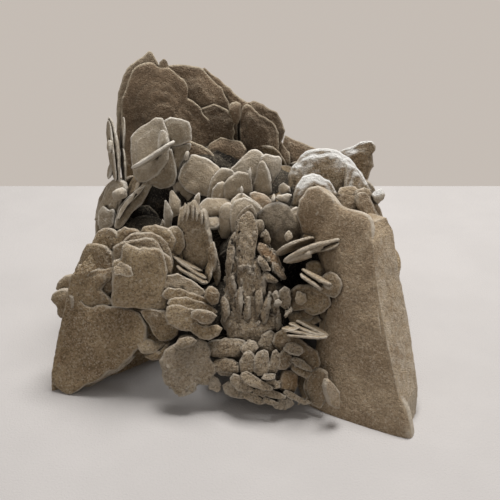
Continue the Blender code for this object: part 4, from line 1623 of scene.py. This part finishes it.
@dataclass
class HollowFront(Cluster):
    """The coarse column in the middle of the hollow, and the small leaves that line its right."""

    name: str = "hollow_front"
    finish: SandyFinish = COARSE
    grower: Grower = Grower(71, swell=0.8, lump=0.7, grit=0.25)
    flakes: int = 280
    flake_sizes: tuple[float, float] = (1.8, 4.0)
    flake_spread: float = 18.0
    plates: tuple[Plate, ...] = (
        Plate(-10, -23, 65, -15, 28, 9, (
            (0, -24), (-3, -19), (-3, -12), (-3, -3), (-5, 6), (-5, 15), (-4, 22), (-2, 26), (2, 21), (4, 9),
            (5, -4), (6, -15), (5, -22)), ragged=0.05),
        Plate(-2, -24, 72, -6, 28, 9, (
            (-7, 15), (-7, 23), (-5, 30), (-1, 34), (2, 33), (4, 29), (6, 20), (5, 9), (4, -2), (5, -19),
            (4, -33), (0, -40), (-3, -34), (-5, -19), (-5, -2)), ragged=0.04),
        Plate(5, -29, 54, 0, 28, 8, (
            (-3, 21), (-1, 24), (2, 21), (4, 8), (4, -7), (2, -20), (-2, -23), (-5, -16),
            (-4, -1)), ragged=0.05),
        Plate(11, -30, 52, 8, 26, 8, (
            (-3, 15), (-1, 18), (4, 12), (6, 2), (2, -8), (-1, -18), (-5, -18), (-5, -4)), ragged=0.05),
        Plate(-11, -34, 45, -10, 26, 9, (
            (-6, 4), (-4, 10), (1, 12), (5, 7), (7, -2), (6, -10), (1, -11), (-3, -8),
            (-6, -3)), ragged=0.08),
        Plate(1, -40, 40, 0, 30, 10, (
            (-17, 3), (-15, 8), (-12, 5), (-8, 9), (-4, 6), (1, 10), (5, 7), (10, 10), (14, 7), (16, 1),
            (14, -6), (6, -10), (-6, -9), (-14, -6)), steps=3, ragged=0.08),
        Plate(0, -34, 50, 2, 27, 9, (
            (-16, 5), (-14, 11), (-10, 13), (-6, 12), (-1, 14), (4, 13), (8, 13), (12, 10), (15, 5), (17, -3),
            (12, -12), (-10, -12), (-15, -4)), steps=3, ragged=0.08),
        Plate(2, -11, 83, -12, 6, 6, (
            (-7, -6), (-6, -2), (-4, 2), (-2, 7), (-1, 10), (0, 12), (2, 12), (5, 12), (6, 9), (6, 1),
            (4, -6), (-2, -13), (-6, -11)), ragged=0.02),
        Plate(-2, -5, 87, -14, 8, 7, (
            (-6, -7), (-7, 1), (-6, 6), (-4, 10), (-2, 12), (0, 14), (3, 15), (4, 13), (6, 9), (6, -3),
            (1, -13), (-5, -15)), ragged=0.03),
        Plate(9, -14, 84, 0, 14, 5, ((-3, -3), (-2, 4), (0, 6), (2, 4), (3, -1), (1, -6)), steps=1),
        Plate(11, -21, 77, 22, 34, 5, (
            (-7, 6), (-4, 9), (-1, 7), (2, 3), (5, -1), (6, -7), (4, -10), (0, -7), (-4, -2),
            (-6, 2)), rust=0.75, ragged=0.02),
        Plate(16, -26, 70, 26, 34, 5, (
            (-3, 6), (1, 4), (3, 0), (4, -6), (2, -6), (-1, -3), (-4, 1)), rust=0.4, ragged=0.02),
        Plate(7, -26, 75, 24, 36, 4, (
            (-3, 2), (-1, 5), (1, 3), (3, -1), (4, -6), (1, -5), (-2, -1)), ragged=0.02, pale=0.05),
        Plate(11, -29, 67, 24, 36, 4, ((-4, 3), (-1, 4), (2, 1), (5, -3), (2, -4), (-2, -2)), ragged=0.03),
        Plate(20, -40, 60, -8, 14, 5, (
            (-4, -3), (-4, 4), (-1, 7), (2, 6), (3, 1), (3, -4), (0, -7)), steps=1, pale=0.05),
        Plate(15, -44, 60, 0, 30, 4, ((-2, -2), (-1, 1), (1, 2), (3, 0), (2, -2)), LENS, pale=0.55),
        Plate(21, -45, 54, 20, 30, 3, ((-3, -2), (0, 1), (3, 3), (3, 0), (0, -2)), KNIFE, pale=0.3),
    )
    leaves: tuple[Leaf, ...] = (
        Leaf(-11, -22, 76, 85, 28, 19, 5, 5, ragged=0.12),
        Leaf(-5, -26, 71, 84, 18, 19, 6, 4, ragged=0.12),
        Leaf(-2, -29, 66, 86, 22, 15, 6, 4, ragged=0.12),
        Leaf(3, -28, 67, 92, 14, 22, 7, 5, ragged=0.12),
        Leaf(7, -31, 62, 84, 53, 17, 5, 5, ragged=0.12),
        Leaf(-10, -31, 62, 93, 44, 15, 6, 4, ragged=0.12),
        Leaf(-6, -37, 56, 89, 47, 16, 5, 4, ragged=0.12),
        Leaf(-2, -37, 54, 90, 42, 20, 6, 4, ragged=0.12),
        Leaf(5, -37, 56, 88, 22, 16, 5, 5, ragged=0.12),
        Leaf(9, -39, 52, 81, 48, 18, 5, 5, ragged=0.12),
        Leaf(-14, -39, 53, 97, 18, 14, 5, 5, ragged=0.12),
        Leaf(16, -42, 46, 84, 50, 11, 5, 3, ragged=0.05, soil_and_shade=0.5),
        Leaf(15, -40, 60, 100, 30, 9, 4, 3, ragged=0.1, pale=0.35),
    )


@dataclass
class RightLeaves(Cluster):
    """The small leaves along the right of the hollow."""

    name: str = "right_leaves"
    finish: SandyFinish = BROWN
    grower: Grower = Grower(73, swell=0.4, lump=0.2)
    plates: tuple[Plate, ...] = (
        Plate(39, -13, 83, -10, 18, 6, (
            (-9, -2), (-9, 2), (-7, 5), (-4, 6), (0, 7), (3, 7), (6, 6), (8, 4), (9, -1), (5, -7),
            (-4, -8)), steps=1, ragged=0.015),
        Plate(37, -24, 69, -8, 22, 5, (
            (-5, -1), (-5, 4), (-2, 6), (2, 6), (5, 4), (6, 0), (4, -5), (-2, -6)), LENS, steps=1),
        Plate(45, -36, 66, -5, 22, 5, (
            (-7, 1), (-5, 5), (-3, 7), (0, 8), (3, 7), (6, 4), (7, 0), (6, -4), (3, -7), (-2, -6),
            (-6, -4)), ragged=0.015, pale=0.05),
        Plate(28, -42, 61, -10, 20, 4, (
            (-3, 0), (-2, 4), (0, 4), (3, 3), (4, -1), (1, -4), (-2, -3)), LENS, pale=0.1),
        Plate(33, -37, 58, -4, 22, 7, (
            (-13, -3), (-11, 4), (-6, 8), (0, 8), (7, 6), (12, 2), (13, -3), (9, -8), (0, -6),
            (-8, -7)), SLAB, steps=3, ragged=0.04),
        Plate(37, -38, 54, -4, 24, 6, (
            (-7, 1), (-3, 5), (2, 6), (6, 3), (6, -3), (-1, -6), (-6, -4)), ragged=0.03),
        Plate(30, -37, 45, 0, 22, 6, (
            (-9, 1), (-6, 4), (1, 4), (8, 3), (11, -1), (5, -5), (-6, -5)), ragged=0.05, soil_and_shade=0.3),
        Plate(27, -52, 33, -2, 30, 5, (
            (-15, 4), (-13, 9), (-9, 12), (-4, 10), (1, 7), (6, 3), (11, 0), (13, -7), (11, -12), (5, -11),
            (0, -7), (-5, -3), (-10, -1)), SLAB, steps=3, ragged=0.03),
        Plate(25, -55, 27, 0, 40, 5, (
            (-8, 5), (-6, 8), (-1, 4), (2, 0), (7, -3), (10, -6), (5, -7), (0, -4), (-5, 0)), ragged=0.04),
        Plate(28, -58, 24, 0, 38, 5, (
            (-6, 4), (-4, 6), (0, 3), (4, 0), (8, -2), (4, -5), (-1, -3), (-5, 0)), ragged=0.04),
        Plate(38, -63, 16, -25, 20, 4, (
            (-5, -5), (-7, 0), (-6, 5), (-5, 9), (-1, 11), (4, 10), (6, 3), (6, -6), (4, -12),
            (-1, -11)), SLAB, ragged=0.015, pale=0.04),
        Plate(34, -61, 15, -25, 20, 3, (
            (-3, -4), (-4, 1), (-3, 7), (-1, 10), (2, 9), (3, 1), (6, -7),
            (3, -11)), SLAB, steps=1, ragged=0.03, pale=0.1),
        Plate(45, -72, 18, 24, 20, 5, (
            (-5, 6), (-3, 10), (-1, 9), (2, 5), (4, 0), (4, -5), (3, -9), (1, -9), (-3, -5),
            (-4, 0)), SLAB, steps=1, ragged=0.015, rust=0.3, pale=0.22),
        Plate(22, -61, 18, 30, 22, 6, (
            (-7, -2), (-6, 4), (-2, 8), (1, 7), (5, 5), (6, 1), (5, -4), (1, -7), (-3, -6)), LENS, rust=0.3),
    )
    leaves: tuple[Leaf, ...] = (
        Leaf(26, -18, 82, 22, -74, 24, 16, 3, pale=0.16, habit=SLAB),
        Leaf(34, -27, 84, 21, -78, 32, 17, 3, pale=0.2, ragged=0.08, habit=SLAB),
        Leaf(27, -30, 80, 14, -80, 16, 11, 3, pale=0.12, ragged=0.08, habit=SLAB),
        Leaf(32, -31, 85, 24, 60, 10, 7, 4, pale=0.2, ragged=0.1),
        Leaf(37, -30, 87, 12, 50, 8, 6, 4, pale=0.1, ragged=0.1),
        Leaf(31, -32, 83, 8, 60, 7, 4, 3, pale=0.25, ragged=0.1),
        Leaf(43, -28, 86, 18, 70, 15, 8, 3, soil_and_shade=0.4, ragged=0.1),
        Leaf(37, -39, 73, -28, 81, 19, 12, 2, pale=0.12, habit=SLAB),
        Leaf(34, -42, 72, -34, 78, 15, 11, 2, pale=0.12, habit=SLAB),
        Leaf(42, -40, 69, -42, 70, 8, 6, 3, pale=0.2),
        Leaf(31, -38, 48, 80, 20, 8, 11, 3, soil_and_shade=0.4),
        Leaf(22, -18, 88, 88, 10, 7, 5, 4, POINTED, pale=0.2),
        Leaf(35, -50, 47, -26, 82, 20, 12, 2, pale=0.12, habit=SLAB),
        Leaf(32, -52, 47, -18, 82, 22, 12, 2, pale=0.05, habit=SLAB),
        Leaf(29, -54, 47, -10, 80, 23, 12, 2, habit=SLAB),
        Leaf(31, -56, 46, -4, 82, 23, 12, 2, pale=0.04, habit=SLAB),
        Leaf(23, -54, 49, 14, 78, 10, 8, 2, pale=0.1),
    )


@dataclass
class FrontFoot(Cluster):
    """The notched plate and the cluster of small crystals at the foot of the hollow."""

    name: str = "front_foot"
    finish: SandyFinish = COARSE
    grower: Grower = Grower(79, swell=0.4, lump=0.25, grit=0.16)
    flakes: int = 40
    flake_sizes: tuple[float, float] = (2.0, 3.5)
    plates: tuple[Plate, ...] = (
        Plate(-35, -56, 26, 4, 26, 5, (
            (-16, 3), (-13, 9), (-11, 10), (-7, 12), (-3, 14), (2, 16), (6, 16), (11, 13), (13, 10), (14, 7),
            (13, 4), (14, 1), (16, -1), (15, -5), (13, -9), (12, -12), (8, -12), (6, -11), (4, -13), (2, -14),
            (-1, -17), (-5, -17), (-8, -17), (-10, -13), (-13, -10), (-14, -8),
            (-15, -2)), SLAB, steps=1, ragged=0.034, pale=0.16),
        Plate(-35, -63, 14, 0, 30, 3, (
            (-6, -4), (-5, 0), (-1, 2), (1, 5), (4, 5), (5, 3), (4, -1), (0, -3),
            (-3, -4)), SLAB, pale=0.3, steps=1),
        Plate(-36, -54, 40, 0, 38, 5, (
            (-6, -2), (-4, 2), (0, 3), (4, 3), (7, 1), (4, -2), (-2, -4)), LENS, steps=1),
        Plate(-20, -59, 15, 12, 24, 4, (
            (-4, -3), (-3, 3), (-1, 6), (2, 4), (4, -1), (3, -4), (1, -5),
            (-2, -3)), SLAB, pale=0.3, steps=1),
        Plate(-9, -62, 13, -16, 30, 4, (
            (-6, -1), (-7, 2), (-4, 5), (-1, 5), (4, 3), (7, -1), (7, -4), (3, -4), (-1, -4),
            (-4, -3)), SLAB, steps=1, pale=0.25),
        Plate(-5, -65, 19, -10, 32, 3, (
            (-6, 0), (-7, 3), (-5, 6), (-1, 5), (3, 2), (8, -2), (5, -4),
            (-1, -4)), SLAB, steps=1, ragged=0.03, pale=0.08),
        Plate(3, -66, 22, 0, 32, 3, (
            (-9, 2), (-8, 5), (-5, 6), (0, 3), (5, 0), (10, -3), (9, -5), (4, -5), (-2, -3),
            (-6, -1)), SLAB, steps=1, ragged=0.03),
        Plate(10, -67, 15, 0, 34, 3, (
            (-9, 1), (-7, 4), (-2, 4), (2, 2), (7, 0), (11, -2), (9, -4), (2, -3), (-3, -2),
            (-8, -1)), SLAB, steps=1, ragged=0.03, pale=0.06),
        Plate(1, -67, 12, -4, 34, 3, (
            (-7, 0), (-6, 3), (-2, 4), (2, 2), (6, 0), (9, -3), (5, -4), (0, -3),
            (-4, -1)), SLAB, steps=1, ragged=0.03, pale=0.1),
        Plate(11, -70, 11, 0, 34, 3, (
            (-5, 0), (-3, 3), (0, 2), (4, 0), (6, -1), (1, -2)), SLAB, steps=1, pale=0.05),
        Plate(18, -67, 8, 4, 28, 4, (
            (-7, 0), (-6, 2), (-2, 3), (3, 4), (6, 2), (7, -1), (4, -3), (0, -4),
            (-4, -3)), SLAB, steps=1, pale=0.3),
        Plate(10, -66, 25, 0, 36, 3, (
            (-4, -1), (-2, 2), (1, 2), (4, 2), (4, -1), (0, -2)), SLAB, steps=1, pale=0.08),
        Plate(12, -66, 20, 0, 34, 3, ((-6, -1), (-4, 2), (1, 3), (5, 1), (5, -2), (-1, -3)), SLAB, steps=1),
        Plate(26, -67, 12, 8, 34, 3, (
            (-8, 3), (-6, 5), (-2, 3), (2, 0), (6, -2), (9, -4), (4, -5), (-1, -2),
            (-5, 0)), SLAB, steps=1, pale=0.08),
        Plate(5, -57, 14, 0, 24, 10, (
            (-17, -4), (-16, 4), (-10, 9), (-2, 8), (8, 8), (14, 2), (18, -5), (14, -9), (5, -9), (-5, -8),
            (-13, -6)), ragged=0.05, soil_and_shade=0.5),
        Plate(-13, -49, 32, 0, 30, 10, (
            (-14, -3), (-12, 3), (-8, 5), (-2, 6), (5, 6), (10, 5), (13, 1), (12, -4), (5, -6), (-4, -5),
            (-9, -5)), steps=3, ragged=0.06),
        Plate(0, -53, 35, -10, 30, 7, (
            (-6, -1), (-4, 3), (-1, 5), (3, 4), (5, 1), (3, -3), (-2, -4)), ragged=0.06, pale=0.03),
        Plate(11, -47, 34, 10, 24, 8, (
            (-8, 0), (-5, 6), (1, 8), (5, 5), (6, -3), (2, -8), (-5, -6)), ragged=0.06),
        Plate(-13, -56, 25, -10, 34, 6, (
            (-10, -1), (-8, 3), (-2, 5), (4, 4), (9, 1), (8, -3), (2, -4), (-5, -4)), ragged=0.08),
        Plate(-13, -56, 22, 0, 30, 6, (
            (-7, 0), (-4, 4), (3, 4), (7, 1), (5, -3), (-3, -3)), ragged=0.06, soil_and_shade=0.4),
        Plate(-1, -59, 29, -6, 26, 4, (
            (-4, -5), (-5, 1), (-3, 6), (0, 8), (2, 7), (4, 4), (5, -1), (4, -5),
            (0, -7)), SLAB, ragged=0.03),
        Plate(6, -61, 30, 0, 26, 4, (
            (-4, -4), (-4, 3), (-2, 7), (2, 8), (4, 7), (5, 2), (5, -3), (3, -6),
            (-2, -7)), SLAB, ragged=0.03),
        Plate(13, -60, 30, 6, 26, 4, (
            (-4, -5), (-2, 3), (0, 7), (2, 8), (4, 5), (4, 0), (2, -5), (-1, -7)), SLAB, ragged=0.03),
        Plate(19, -58, 31, 14, 26, 4, (
            (-5, -5), (-3, 3), (0, 6), (3, 5), (5, 1), (4, -3), (0, -6)), SLAB, steps=1, ragged=0.03),
        Plate(24, -59, 39, -5, 34, 3, (
            (-6, -1), (-4, 3), (0, 4), (5, 1), (6, -2), (3, -4),
            (-2, -3)), SLAB, steps=1, ragged=0.04, pale=0.06),
        Plate(28, -60, 29, 0, 34, 3, (
            (-6, 2), (-4, 5), (1, 3), (6, -1), (7, -4), (2, -3),
            (-2, -1)), SLAB, steps=1, ragged=0.04, pale=0.04),
    )


@dataclass
class Core(Cluster):
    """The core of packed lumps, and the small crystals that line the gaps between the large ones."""

    name: str = "core"
    # near black, as painted shade in the gaps
    finish: SandyFinish = GAP_SHADE
    grower: Grower = Grower(89, swell=0.6, lump=0.3)
    inner: int = 9  # crystals on each lump
    out: float = 0.96  # how far out in it they sit, as a share of its radii
    lowest: float = 4.0
    lumps: tuple[Lump, ...] = (
        Lump((-4, 30, 42), (58, 34, 42)),
        Lump((-34, 60, 58), (38, 22, 54)),
        Lump((10, 60, 50), (40, 26, 50)),
        Lump((54, 16, 50), (26, 28, 44)),
        Lump((-66, 24, 40), (28, 24, 40)),
        Lump((-2, -12, 28), (38, 24, 28)),
        Lump((-20, 38, 74), (30, 16, 24)),
        Lump((36, 20, 78), (24, 16, 22)),
        Lump((2, 2, 62), (20, 16, 26)),
    )

    def lining(self, rng: random.Random) -> list[Leaf]:
        """Small crystals that stand half sunk in the lumps, each facing its own way.

        Args:
            rng: where each sits and how it is swung.

        Returns:
            The crystals.
        """
        leaves = []
        for lump in self.lumps:
            for _ in range(self.inner):
                away = Vector(rng.gauss(0, 1) for _ in range(3)).normalized()
                x, y, z = (m + self.out * r * a for m, r, a in zip(lump.middle, lump.radii, away))
                length = rng.uniform(14, 26)
                leaves.append(
                    Leaf(
                        x=x,
                        y=y,
                        z=max(z, self.lowest),
                        slant=rng.uniform(0, 180),
                        turn=rng.uniform(-60, 60),
                        length=length,
                        width=length * rng.uniform(0.6, 0.95),
                        thick=rng.uniform(3, 5),
                        heading=math.degrees(math.atan2(away.x, -away.y)) + rng.uniform(-50, 50),
                    )
                )
        return leaves

    def shells(self, rng: random.Random) -> list[Shell]:
        """Grow the lumps and the crystals that line them.

        Args:
            rng: the cluster's own chance.

        Returns:
            The closed shells, which overlap.
        """
        around = random.Random(self.grower.seed)
        return super().shells(rng) + [self.grower.leaf(leaf, rng) for leaf in self.lining(around)]


@dataclass
class RearBody(Cluster):
    """The sides and the rear: large plates and rings of smaller crystals."""

    name: str = "rear_body"
    finish: SandyFinish = BROWN
    grower: Grower = Grower(7, swell=0.8, lump=0.3)
    middle: tuple[float, float] = (-4.0, 36.0)
    reach: tuple[float, float] = (84.0, 60.0)
    arc: tuple[float, float] = (72.0, 288.0)  # headings that the rings run between
    rings: tuple[tuple[int, float, float, float], ...] = (  # how many, height, share of reach, size
        (8, 15, 0.98, 38),
        (7, 40, 1.04, 42),
        (6, 66, 1.0, 40),
        (5, 88, 0.84, 34),
    )
    leaves: tuple[Leaf, ...] = (
        Leaf(-46, 88, 66, 0, -14, 62, 86, 11, BLUNT, 172),
        Leaf(2, 96, 50, 0, -10, 60, 72, 10, BLUNT, 186),
        Leaf(44, 84, 50, 10, -8, 54, 70, 10, BLUNT, 160),
        Leaf(74, 52, 52, 0, -12, 48, 76, 10, BLUNT, 128),
        Leaf(-84, 58, 58, 0, -16, 48, 84, 10, BLUNT, 222),
        Leaf(-94, 18, 40, -10, -18, 46, 60, 9, BLUNT, 262),
        Leaf(79, 10, 30, 10, -6, 46, 40, 9, BLUNT, 96),
        Leaf(77, 22, 58, 40, 14, 40, 34, 8, BLUNT, 84),
        Leaf(75, 2, 60, 70, -12, 36, 30, 8, BLUNT, 100),
        Leaf(-62, 77, 98, 4, -12, 46, 50, 8, BLUNT, 186),
        Leaf(-28, 85, 96, 20, -10, 40, 46, 8, BLUNT, 176),
        Leaf(8, 83, 88, -14, -10, 38, 46, 8, BLUNT, 170),
        Leaf(40, 86, 78, 10, -8, 34, 40, 8, BLUNT, 158),
        # these fillers sit deep under the fan and are darkened as painted shade
        Leaf(-8, 58, 92, 20, 15, 40, 32, 8, soil_and_shade=0.6),
        Leaf(28, 60, 84, -20, 20, 42, 34, 9, soil_and_shade=0.6),
        Leaf(50, 48, 86, 30, 25, 34, 28, 7, soil_and_shade=0.6),
        Leaf(20, 44, 84, 0, 30, 36, 28, 8, soil_and_shade=0.6),
    )

    def ring(
        self, rng: random.Random, count: int, height: float, share: float, size: float
    ) -> list[Leaf]:
        """One ring of crystals round the sides and the rear, each swung a little out of line.

        Args:
            rng: where each crystal sits and how it is swung.
            count: how many crystals.
            height: of the ring.
            share: of the cluster's reach at which the ring runs.
            size: of a crystal, about.

        Returns:
            The crystals.
        """
        first, last = self.arc
        ring = []
        for i in range(count):
            heading = first + (last - first) * (i + 0.5) / count
            turn_to = math.radians(heading)
            length = size * rng.uniform(0.85, 1.2)
            ring.append(
                Leaf(
                    x=self.middle[0] + self.reach[0] * share * math.sin(turn_to),
                    y=self.middle[1] - self.reach[1] * share * math.cos(turn_to),
                    z=height + rng.uniform(-5, 5),
                    slant=rng.choice((0, 30, 60, 90, 120, 150)),
                    turn=rng.uniform(-50, 40),
                    length=length,
                    width=length * rng.uniform(0.75, 0.95),
                    thick=rng.uniform(6, 9),
                    heading=heading + rng.uniform(-35, 35),
                )
            )
        return ring

    def shells(self, rng: random.Random) -> list[Shell]:
        """Grow the plates and the rings.

        Args:
            rng: the cluster's own chance.

        Returns:
            The closed shells, which overlap.
        """
        around = random.Random(self.grower.seed)
        grown = super().shells(rng)
        for row in self.rings:
            grown += [self.grower.leaf(leaf, rng) for leaf in self.ring(around, *row)]
        return grown


# --------------------------------------
# Studio
# --------------------------------------


@dataclass(frozen=True)
class Studio:
    """A plain pale floor with soft light from above, and the camera. Lengths in metres."""

    eye: Point = (0.007, -0.4195, 0.279)
    look_down_deg: float = 27.0
    lens: float = 55.0  # and the sensor's width, in millimetres
    sensor: float = 36.0
    nearest: float = 0.01  # what the camera sees begins here
    floor_rear: float = 0.2635
    floor_size: float = 3.0
    floor_colour: Colour = (0.495, 0.475, 0.465)
    floor_shade: float = 0.96  # how dark its clouds are
    floor_clouds: float = 70.0  # how wide they are, in millimetres
    floor_roughness: float = 0.95
    weave: tuple[float, float] = (1.2, 0.3)  # width and height of the cloth's weave, in millimetres
    folds: tuple[float, float] = (60.0, 1.5)  # and of its soft folds
    wall_colour: Colour = (0.558, 0.505, 0.458)
    sky_colour: Colour = (0.34, 0.327, 0.315)
    key_power: float = 15.5
    key_size: float = 0.5
    key_place: Point = (0.12, 0.30, 1.1)
    key_colour: Colour = (1.0, 0.985, 0.965)

    def floor(self) -> None:
        """The floor: a wide sheet whose far edge is the horizon."""
        half, far = self.floor_size / 2, self.floor_rear
        near = far - self.floor_size
        corners = [(-half, near, 0), (half, near, 0), (half, far, 0), (-half, far, 0)]
        mesh = bpy.data.meshes.new("floor")
        mesh.from_pydata(corners, [], [(0, 1, 2, 3)])
        floor = bpy.data.objects.new("floor", mesh)
        bpy.context.scene.collection.objects.link(floor)
        material = bpy.data.materials.new("pale_cloth")
        g = Graph(material)
        mm = g.millimetres()
        shaded = tuple(self.floor_shade * c for c in self.floor_colour)
        colour = g.mix(g.span(g.noise(mm, self.floor_clouds, 3), 0.35, 0.65), shaded, self.floor_colour)
        reliefs = (self.weave, self.folds)
        heights = [g.math("MULTIPLY", g.noise(mm, width, 2), high * MM) for width, high in reliefs]
        g.dull(colour, self.floor_roughness, g.bump(g.math("ADD", *heights)))
        mesh.materials.append(material)

    def light(self) -> None:
        """A large soft lamp above and the pale surroundings."""
        lamp = bpy.data.lights.new("key", "AREA")
        lamp.shape = "SQUARE"
        lamp.size = self.key_size
        lamp.energy = self.key_power
        lamp.color = self.key_colour
        key = bpy.data.objects.new("key", lamp)
        key.location = self.key_place
        key.rotation_euler = (-Vector(self.key_place)).to_track_quat("-Z", "Y").to_euler()
        bpy.context.scene.collection.objects.link(key)
        world = bpy.data.worlds.new("room")
        g = Graph(world)
        height = g.add("SeparateXYZ", {0: g.add("TexCoord").outputs["Generated"]}).outputs[2]
        colour = g.mix(g.span(height, 0.0, 0.35), self.wall_colour, self.sky_colour)
        background = g.add("Background", {"Color": colour})
        g.add("OutputWorld", {"Surface": background.outputs[0]})
        bpy.context.scene.world = world

    def camera(self) -> None:
        """The camera, looking down on the front slope."""
        data = bpy.data.cameras.new("camera")
        data.lens = self.lens
        data.sensor_width = self.sensor
        data.clip_start = self.nearest
        camera = bpy.data.objects.new("camera", data)
        camera.location = self.eye
        camera.rotation_euler = (math.radians(90 - self.look_down_deg), 0.0, 0.0)
        bpy.context.scene.collection.objects.link(camera)
        bpy.context.scene.camera = camera

    def set_up(self) -> None:
        """Lay the floor, light it and place the camera."""
        self.floor()
        self.light()
        self.camera()
        bpy.context.scene.view_settings.view_transform = "Standard"


CLUSTERS: tuple[type[Cluster], ...] = (
    RearFan,
    LeftLeaves,
    CentreDiscs,
    RightCaps,
    Prow,
    Wedge,
    LeftRibs,
    HollowFront,
    RightLeaves,
    FrontFoot,
    Core,
    RearBody,
)


def main() -> None:
    """Build the rose around its solid."""
    logging.basicConfig(level=logging.INFO, format="%(name)s: %(message)s")
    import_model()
    clusters = [cluster() for cluster in CLUSTERS]
    pieces = [cluster.build() for cluster in clusters]
    Depths().shade(pieces)
    for cluster, piece in zip(clusters, pieces):
        cluster.fit(piece)
    Studio().set_up()


if __name__ == "__main__":
    main()
